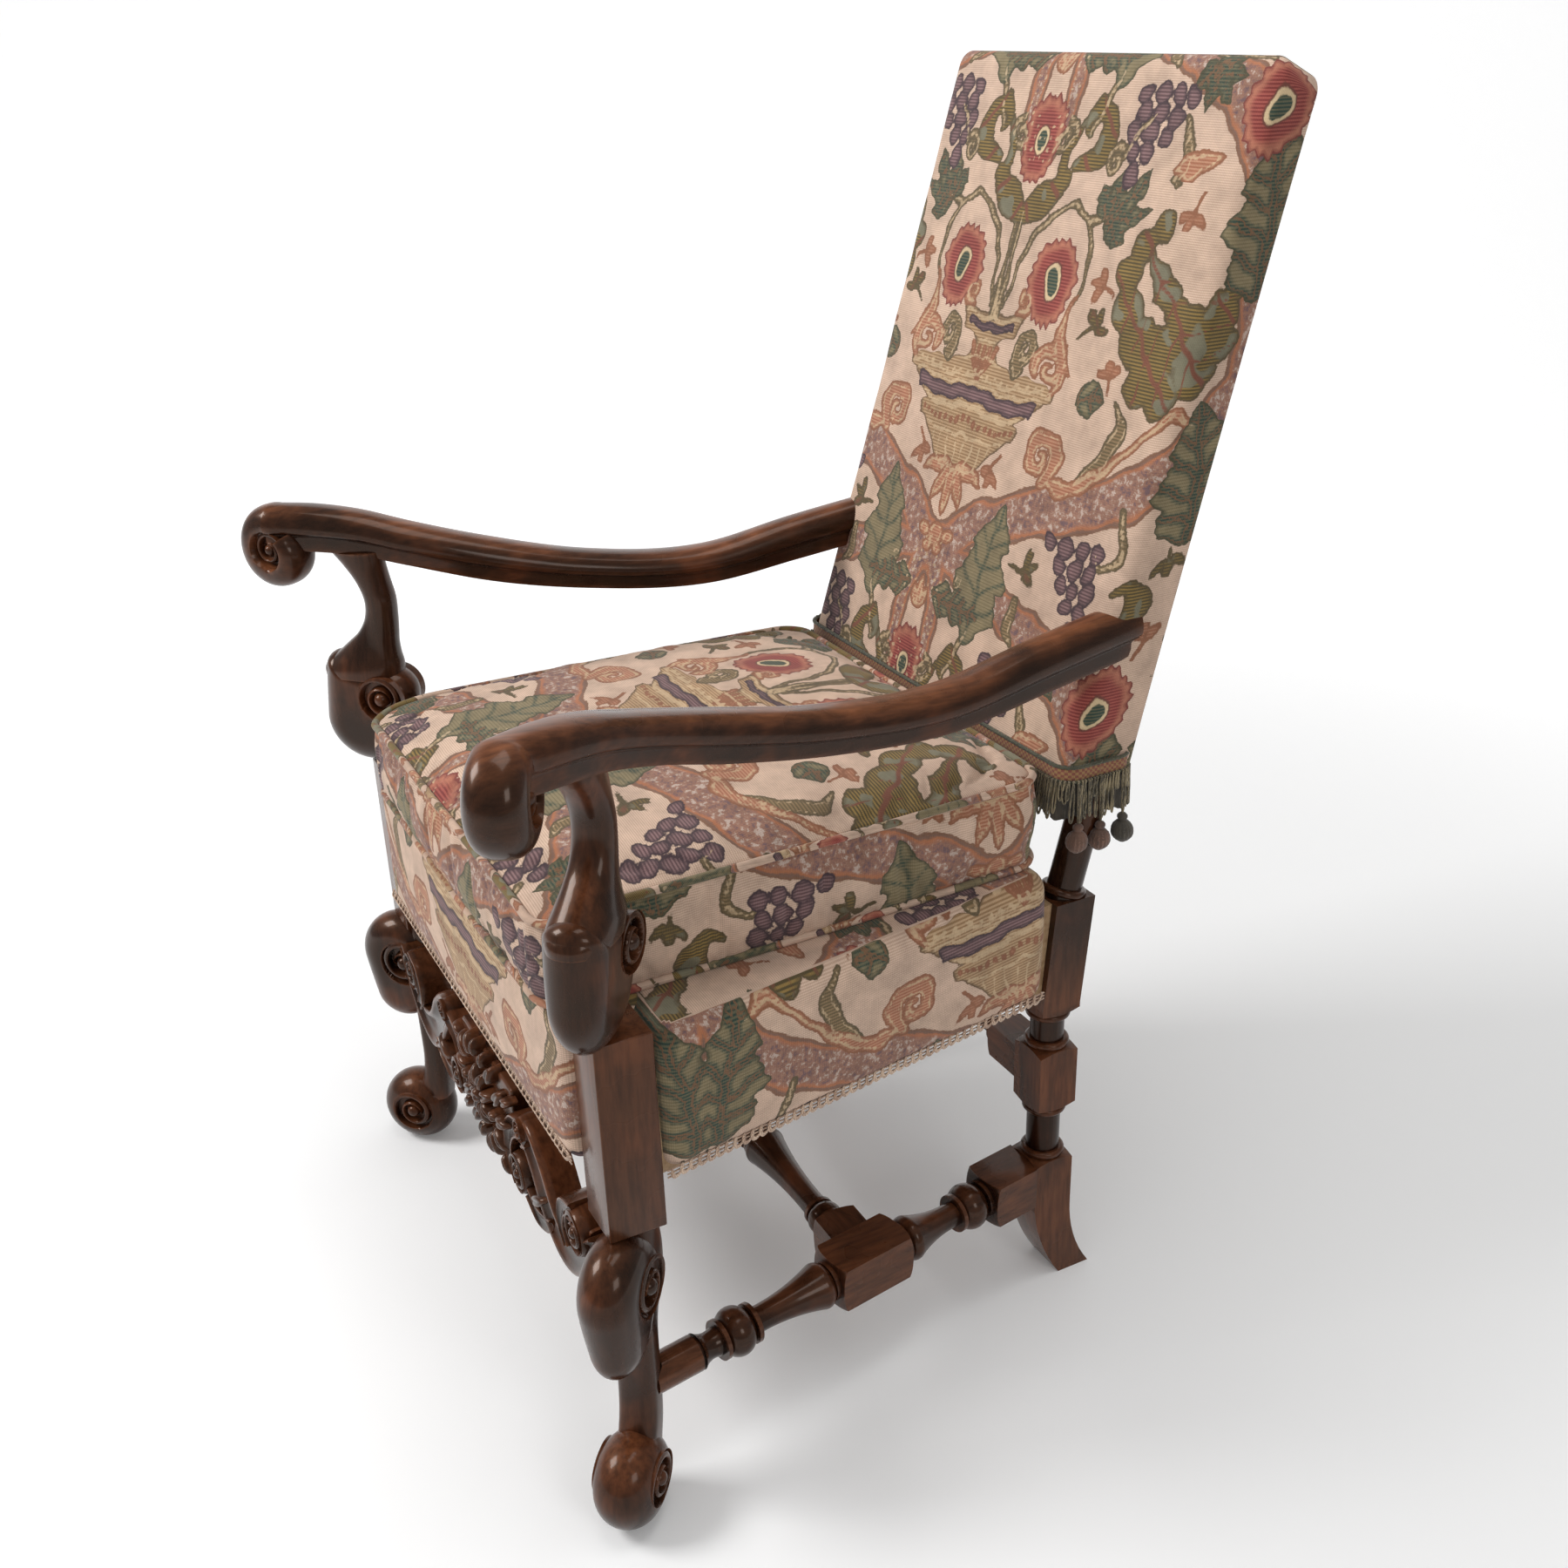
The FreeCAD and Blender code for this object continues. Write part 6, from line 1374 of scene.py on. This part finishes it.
def cords(name, lines, radius, material, closed=False, sides=1):
    """Round threads along lines of points in the chair frame, as one mesh."""
    curve = bpy.data.curves.new(name, "CURVE")
    curve.dimensions = "3D"
    curve.bevel_depth = radius * MM
    curve.bevel_resolution = sides
    curve.use_fill_caps = not closed
    for line in lines:
        spline = curve.splines.new("POLY")
        spline.points.add(len(line) - 1)
        spline.points.foreach_set("co", np.column_stack([place(line), np.ones(len(line))]).ravel())
        spline.use_cyclic_u = closed
    drawn = link(name, curve)
    solved = drawn.evaluated_get(bpy.context.evaluated_depsgraph_get())
    mesh = bpy.data.meshes.new_from_object(solved)
    bpy.data.objects.remove(drawn)
    mesh.materials.clear()
    return finished(name, mesh, material)


def gimp(name, start, end, outward):
    """A braid of nested loops between two ends of the seat cover's lower edge."""
    start, end, outward = np.array([start, end, outward], dtype=float)
    length = np.linalg.norm(end - start)
    run = (end - start) / length
    count = int(round(length / 8.8))
    turns = np.linspace(0, 2 * math.pi * count, count * 18 + 1)
    lines = []
    for wide, tall, out in ((3.6, 4.9, 1.0), (2.7, 3.6, 1.5), (1.8, 2.3, 2.0)):
        along = 4.5 + (length - 9) * turns / turns[-1] - wide * np.sin(turns)
        rise = tall * np.cos(turns + 0.35)
        lines.append(start + along[:, None] * run + rise[:, None] * UPWARD
                     + (out + 0.8 * np.sin(turns))[:, None] * outward)
    for level in (-3.2, 0.0, 3.2):
        lines.append(np.array([start, end]) + level * UPWARD)
    return cords(name, lines, 0.72, gimp_thread)


def foot_ring(grow):
    """Even points round the foot of the back, with how far along and which way is out."""
    level, step = 547.0, 1.6
    front, rear = back_rake(level)
    a, b = np.cos(circle(3000)), np.sin(circle(3000))
    square = np.maximum(np.abs(a), np.abs(b))
    a, b = a / square, b / square
    half = (rear - front) / 2 + grow
    x, y = plan_corner(a, b, BACK_HALF + grow, half, 15 + grow)
    bow = 2.9 * np.clip(1 - (x / BACK_HALF) ** 2, 0, 1) ** 0.7 * np.clip(-b, 0, 1) ** 4
    y = y + (front + rear) / 2 - bow
    gaps = np.hypot(np.roll(x, -1) - x, np.roll(y, -1) - y)
    far = np.concatenate([[0.0], np.cumsum(gaps)])
    count = int(round(far[-1] / step))
    run = np.arange(count) * far[-1] / count
    x = np.interp(run, far, np.append(x, x[0]))
    y = np.interp(run, far, np.append(y, y[0]))
    ahead = np.column_stack([np.roll(x, -1) - np.roll(x, 1), np.roll(y, -1) - np.roll(y, 1)])
    ahead /= np.linalg.norm(ahead, axis=1, keepdims=True)
    outward = np.column_stack([ahead[:, 1], -ahead[:, 0], np.zeros(count)])
    return np.column_stack([x, y, np.full(count, level)]), run, outward


def sleeve(name, ring, run, outward, out, rise, material):
    """A band round a closed ring: out and rise hold a value for each row and each ring point."""
    points = ring[None] + out[..., None] * outward[None] + rise[..., None] * UPWARD
    rows, columns = out.shape
    piece = make(name, points.reshape(-1, 3), grid_faces(rows, columns), material, outward=False)
    store(piece, run=np.broadcast_to(run, out.shape), rise=rise)
    return piece


def braid():
    ring, run, outward = foot_ring(0.4)
    profile = np.array([(0, -7.2), (2.4, -7.0), (2.9, -5.0), (3.2, -2.5), (3.3, 0), (3.2, 2.5),
                        (2.9, 5.0), (2.4, 7.0), (0, 7.2)])
    out = np.repeat(profile[:, :1], len(run), axis=1)
    rise = np.repeat(profile[:, 1:], len(run), axis=1)
    check = np.sin(run * math.pi / CHECK_RUN)[None] * np.sin(rise * math.pi / CHECK_RISE)
    out = out + 0.25 * np.tanh(4 * check) * (np.abs(rise) < CHECK_EDGE)
    band = sleeve("braid_band", ring, run, outward, out, rise, checked_braid("checked_braid"))
    edges = []
    for level, seed in ((7.0, 1), (-7.0, 2)):
        wobble = 0.5 * np.sin(run * 2 * math.pi / 4.1 + seed) + 0.3 * np.sin(run * 1.13 + seed)
        edges.append(ring + 2.7 * outward + (level + wobble)[:, None] * UPWARD)
    return join("foot_braid", [band, cords("braid_edges", edges, 1.7, green_thread, True, 2)])


def fringe():
    ring, run, outward = foot_ring(1.2)
    source = np.random.default_rng(21)
    levels = np.array([-5.0, -14, -24, -34, -42])
    ragged = ripple(np.column_stack([run, run * 0, run * 0]), 14, 5.0, 31)
    rise = np.repeat(levels[:, None], len(run), axis=1)
    rise[-1] += ragged
    waves = 0.9 * np.sin(run * 2 * math.pi / 3.3) + 0.7 * np.sin(run * 2 * math.pi / 11.7 + 1)
    out = 2.2 + waves[None] * np.linspace(0.4, 1.4, len(levels))[:, None]
    # A sheet of dark threads behind the loops: its darkness is painted shade among the loops.
    shade_curtain = sleeve("fringe_shade_sheet", ring, run, outward, out, rise, dark_thread)
    lines = []
    turns = np.linspace(0, math.pi, 15)
    along_ring = np.column_stack([-outward[:, 1], outward[:, 0], outward[:, 2]])
    for index in range(0, len(run), 2):
        width = source.uniform(4.0, 7.5)
        drop = source.choice([source.uniform(20, 28), source.uniform(36, 46)], p=[0.5, 0.5])
        lean = source.uniform(-0.09, 0.09)
        reach = source.uniform(3.2, 4.6)
        along = -width / 2 * np.cos(turns) * np.sin(turns) ** 0.7
        fall = 5 + (drop - 5) * np.sin(turns) ** 0.8
        along = along + lean * fall
        bulge = reach + 1.6 * np.sin(turns) + 0.7 * np.cos(turns)
        lines.append(ring[index] + along[:, None] * along_ring[index]
                     + bulge[:, None] * outward[index] - fall[:, None] * UPWARD)
    return join("foot_fringe", [shade_curtain, cords("fringe_loops", lines, 0.95, olive_thread)])


TASSEL_PROFILE = [
    # height, radius
    (0.5, 1.6), (-0.5, 3.3), (-2.2, 4.7), (-4.0, 4.8), (-5.6, 3.9), (-6.6, 3.6), (-7.6, 5.4),
    (-10.5, 8.0), (-14.5, 9.6), (-18.5, 9.8), (-22, 8.6), (-25, 5.8), (-27.4, 2.4), (-28, 0.3),
]


def tassel(name, spot, lean, turn, material):
    """A knob over a round head of threads, slightly askew."""
    count = 48
    angles = circle(count)
    down, wide = np.array(TASSEL_PROFILE).T
    ridge = 1 + 0.055 * np.cos(angles[None] * 16 + turn) * (down[:, None] < -8)
    wide = wide[:, None] * ridge
    points = np.stack([spot[0] + wide * np.cos(angles) + lean[0] * down[:, None],
                       spot[1] + wide * np.sin(angles) + lean[1] * down[:, None],
                       spot[2] + np.repeat(down[:, None], count, axis=1)], axis=-1)
    return make(name, points.reshape(-1, 3), closed_faces(len(down), count), material)


def tassels():
    source = np.random.default_rng(8)
    front, rear = back_rake(BACK_FOOT)
    spots = []
    for index in range(-5, 6):
        bow = 1 - (index / 6) ** 2
        spots.append((36.5 * index, front - 6.0 - bow))
        spots.append((36.5 * index, rear + 10.5))
    for side in (-1, 1):
        for share in (0.16, 0.5, 0.84):
            spots.append((side * 241.0, front + (rear - front) * share))
    made, hangers = [], []
    for number, (x, y) in enumerate(spots):
        material = brown_thread if number % 3 else dark_thread
        top = 500.0 + source.uniform(-1, 3)
        made.append(tassel(f"tassel_{number}", (x, y, top),
                           source.uniform(-0.08, 0.08, 2), source.uniform(0, 6), material))
        for side in (-1, 1):
            hangers.append(np.array([(x + side * 2.4, y, 541), (x + side * 2.1, y, 522),
                                     (x + side * 1.2, y, 506), (x, y, top - 1)]))
    return join("foot_tassels", made + [cords("tassel_cords", hangers, 0.9, olive_thread)])


def outside_cloth():
    """The cloth that closes the rear of the back, drawn tight and slip-stitched round its edge."""
    half, low, high, columns, rows = 226, 545, 1088, 114, 136
    x, z = np.meshgrid(np.linspace(-half, half, columns), np.linspace(low, high, rows))
    edge = np.minimum(np.minimum(half - np.abs(x), z - low), high - z)
    pucker = 0.35 * np.sin((x + z) * 2 * math.pi / 13) * np.exp(-edge / 12)
    y = back_rake(z)[1] + 1.5 + pucker + 0.8 * np.clip(edge / 60, 0, 1)
    points = np.column_stack([x.ravel(), y.ravel(), z.ravel()])
    piece = make("outside_cloth", points, grid_faces(rows, columns, wrap=False), linen)
    thickness = piece.modifiers.new("thickness", "SOLIDIFY")
    thickness.thickness = 1.2 * MM
    corners = [(-half, low), (half, low), (half, high), (-half, high)]
    lines = []
    for (x0, z0), (x1, z1) in zip(corners, corners[1:] + corners[:1]):
        count = int(math.hypot(x1 - x0, z1 - z0) / 9)
        for step in range(count):
            line = []
            for share in (step / count, (step + 0.28) / count):
                height = z0 + (z1 - z0) * share
                line.append((x0 + (x1 - x0) * share, back_rake(height)[1] + 1.9, height))
            lines.append(np.array(line))
    return piece, cords("outside_stitches", lines, 0.5, linen_thread)


def web_strip(name, middle, along, across, half_run, phase):
    """One strip of webbing that goes over and under the strips it crosses."""
    run = np.linspace(-half_run, half_run, int(half_run / 3))
    wave = phase * 1.05 * np.cos(run * math.pi / 108)
    rows = []
    for width, level in ((-26, -0.75), (26, -0.75), (26, 0.75), (-26, 0.75)):
        rows.append(np.array(middle) + run[:, None] * along + width * across
                    + (wave + level)[:, None] * UPWARD)
    count = len(run)
    faces = []
    for row in range(4):
        nxt = (row + 1) % 4
        for j in range(count - 1):
            faces.append((row * count + j, row * count + j + 1, nxt * count + j + 1, nxt * count + j))
    for j in (0, count - 1):
        faces.append(tuple(row * count + j for row in range(4)))
    piece = make(name, np.vstack(rows), faces, web_cloth, smooth=False)
    store(piece, run=np.tile(run, 4), rise=np.repeat([-26.0, 26.0, 26.0, -26.0], count))
    return piece


def seat_web():
    forward, sideways = np.array([0.0, 1.0, 0.0]), np.array([1.0, 0.0, 0.0])
    strips = []
    for index in (-1, 0, 1):
        sign = -1 if index else 1
        strips.append(web_strip(f"web_long_{index + 2}", (108 * index, 246.5, 426), forward,
                                sideways, 229, sign))
        middle = 246.5 + 108 * index
        strips.append(web_strip(f"web_across_{index + 2}", (0, middle, 426), sideways, forward,
                                side_outer(middle) - 12, -sign))
    return join("seat_web", strips)


gimp_thread = thread("gimp_thread", (0.36, 0.22, 0.15), (0.72, 0.54, 0.4))
olive_thread = thread("olive_thread", (0.05, 0.04, 0.022), (0.3, 0.235, 0.13))
dark_thread = thread("dark_thread", (0.018, 0.014, 0.009), (0.07, 0.056, 0.036))
green_thread = thread("green_thread", (0.022, 0.024, 0.01), (0.07, 0.065, 0.03))
brown_thread = thread("brown_thread", (0.05, 0.024, 0.014), (0.17, 0.082, 0.05))
linen_thread = thread("linen_thread", (0.3, 0.24, 0.17), (0.5, 0.42, 0.31))
web_cloth = webbing("web_cloth")

GIMP_OUT = 8.6
GIMP_LEVEL = 338
front_gimp = gimp("front_gimp", (-257, -GIMP_OUT, GIMP_LEVEL), (257, -GIMP_OUT, GIMP_LEVEL), (0, -1, 0))
trim = [(front_gimp, "seat_gimp_front", "gimp")]
for side, label in ((1, "left"), (-1, "right")):
    ends = [(side * (side_outer(y) + GIMP_OUT), y, GIMP_LEVEL) for y in (51, 455)]
    trim.append((gimp(f"side_gimp_{label}", *ends, (side, 0, 0)), f"seat_gimp_{label}", "gimp"))
trim += [(braid(), "back_braid", "braid"), (fringe(), "back_fringe", "fringe"),
         (tassels(), "back_tassels", "fringe"), (seat_web(), "seat_webbing", "webbing")]
for piece, node_name, slot_name in trim:
    dress(piece, "frame", node_name)
outside, stitches = outside_cloth()
dress(outside, "frame", "back_outside_cover")
dress(stitches, "frame")


# Floor and light
def stage_material(name, colour, near, far):
    """Pale and matt, with white added where the camera or a reflection sees it, most far off."""
    material, tree, shader = node_material(name)
    rays = tree.nodes.new("ShaderNodeLightPath")
    seen = maths(tree, "MAXIMUM", rays.outputs["Is Camera Ray"], rays.outputs["Is Glossy Ray"])
    seen = maths(tree, "MAXIMUM", seen, rays.outputs["Is Transmission Ray"])
    spot = tree.nodes.new("ShaderNodeNewGeometry").outputs["Position"]
    away = tree.nodes.new("ShaderNodeVectorMath")
    away.operation = "LENGTH"
    tree.links.new(spot, away.inputs[0])
    glow = tree.nodes.new("ShaderNodeMapRange")
    glow.interpolation_type = "SMOOTHSTEP"
    fill_inputs(tree, glow, Value=away.outputs["Value"], From_Min=0.8, From_Max=2.6, To_Min=near,
                To_Max=far)
    finish_look(tree, shader, colour, Roughness=0.9, Specular_IOR_Level=0.1,
                Emission_Color=(1.0, 1.0, 1.0), Emission_Strength=times(tree, seen, glow.outputs[0]))
    return material


floor_mesh = bpy.data.meshes.new("floor")
steps = 24
reach, depth, rise, bend = 6.0, 3.0, 5.0, 2.0
profile = [(-reach, 0.0)]
for index in range(steps + 1):
    angle = math.pi / 2 * index / steps
    profile.append((depth + bend * math.sin(angle), bend - bend * math.cos(angle)))
profile.append((depth + bend, rise))
floor_mesh.from_pydata([(x, y, z) for x in (-reach, reach) for y, z in profile], [], [
    (j, j + 1, j + 1 + len(profile), j + len(profile)) for j in range(len(profile) - 1)])
floor = finished("floor", floor_mesh, stage_material("pale_floor", (0.9, 0.9, 0.9), 0.1, 0.5))
floor.rotation_euler = (0, 0, math.radians(63))


AIM = Vector((0, 0, 0.5))


def area_light(name, location, size, power):
    """A square lamp that shines at the middle of the seat."""
    data = bpy.data.lights.new(name, "AREA")
    data.shape = "SQUARE"
    data.size = size
    data.energy = power
    lamp = link(name, data)
    lamp.location = location
    lamp.rotation_euler = (AIM - Vector(location)).to_track_quat("-Z", "Y").to_euler()


area_light("key_light", (-1.0, -2.5, 2.7), 1.3, 78)
area_light("side_light", (3.0, 0.2, 1.9), 1.0, 14)
area_light("top_light", (0.2, 0.1, 3.3), 1.6, 26)
world = bpy.data.worlds.new("studio")
scene.world = world
world.use_nodes = True
world.node_tree.nodes["Background"].inputs[0].default_value = (0.95, 0.95, 0.95, 1)
world.node_tree.nodes["Background"].inputs[1].default_value = 0.42
scene.view_settings.view_transform = "Standard"
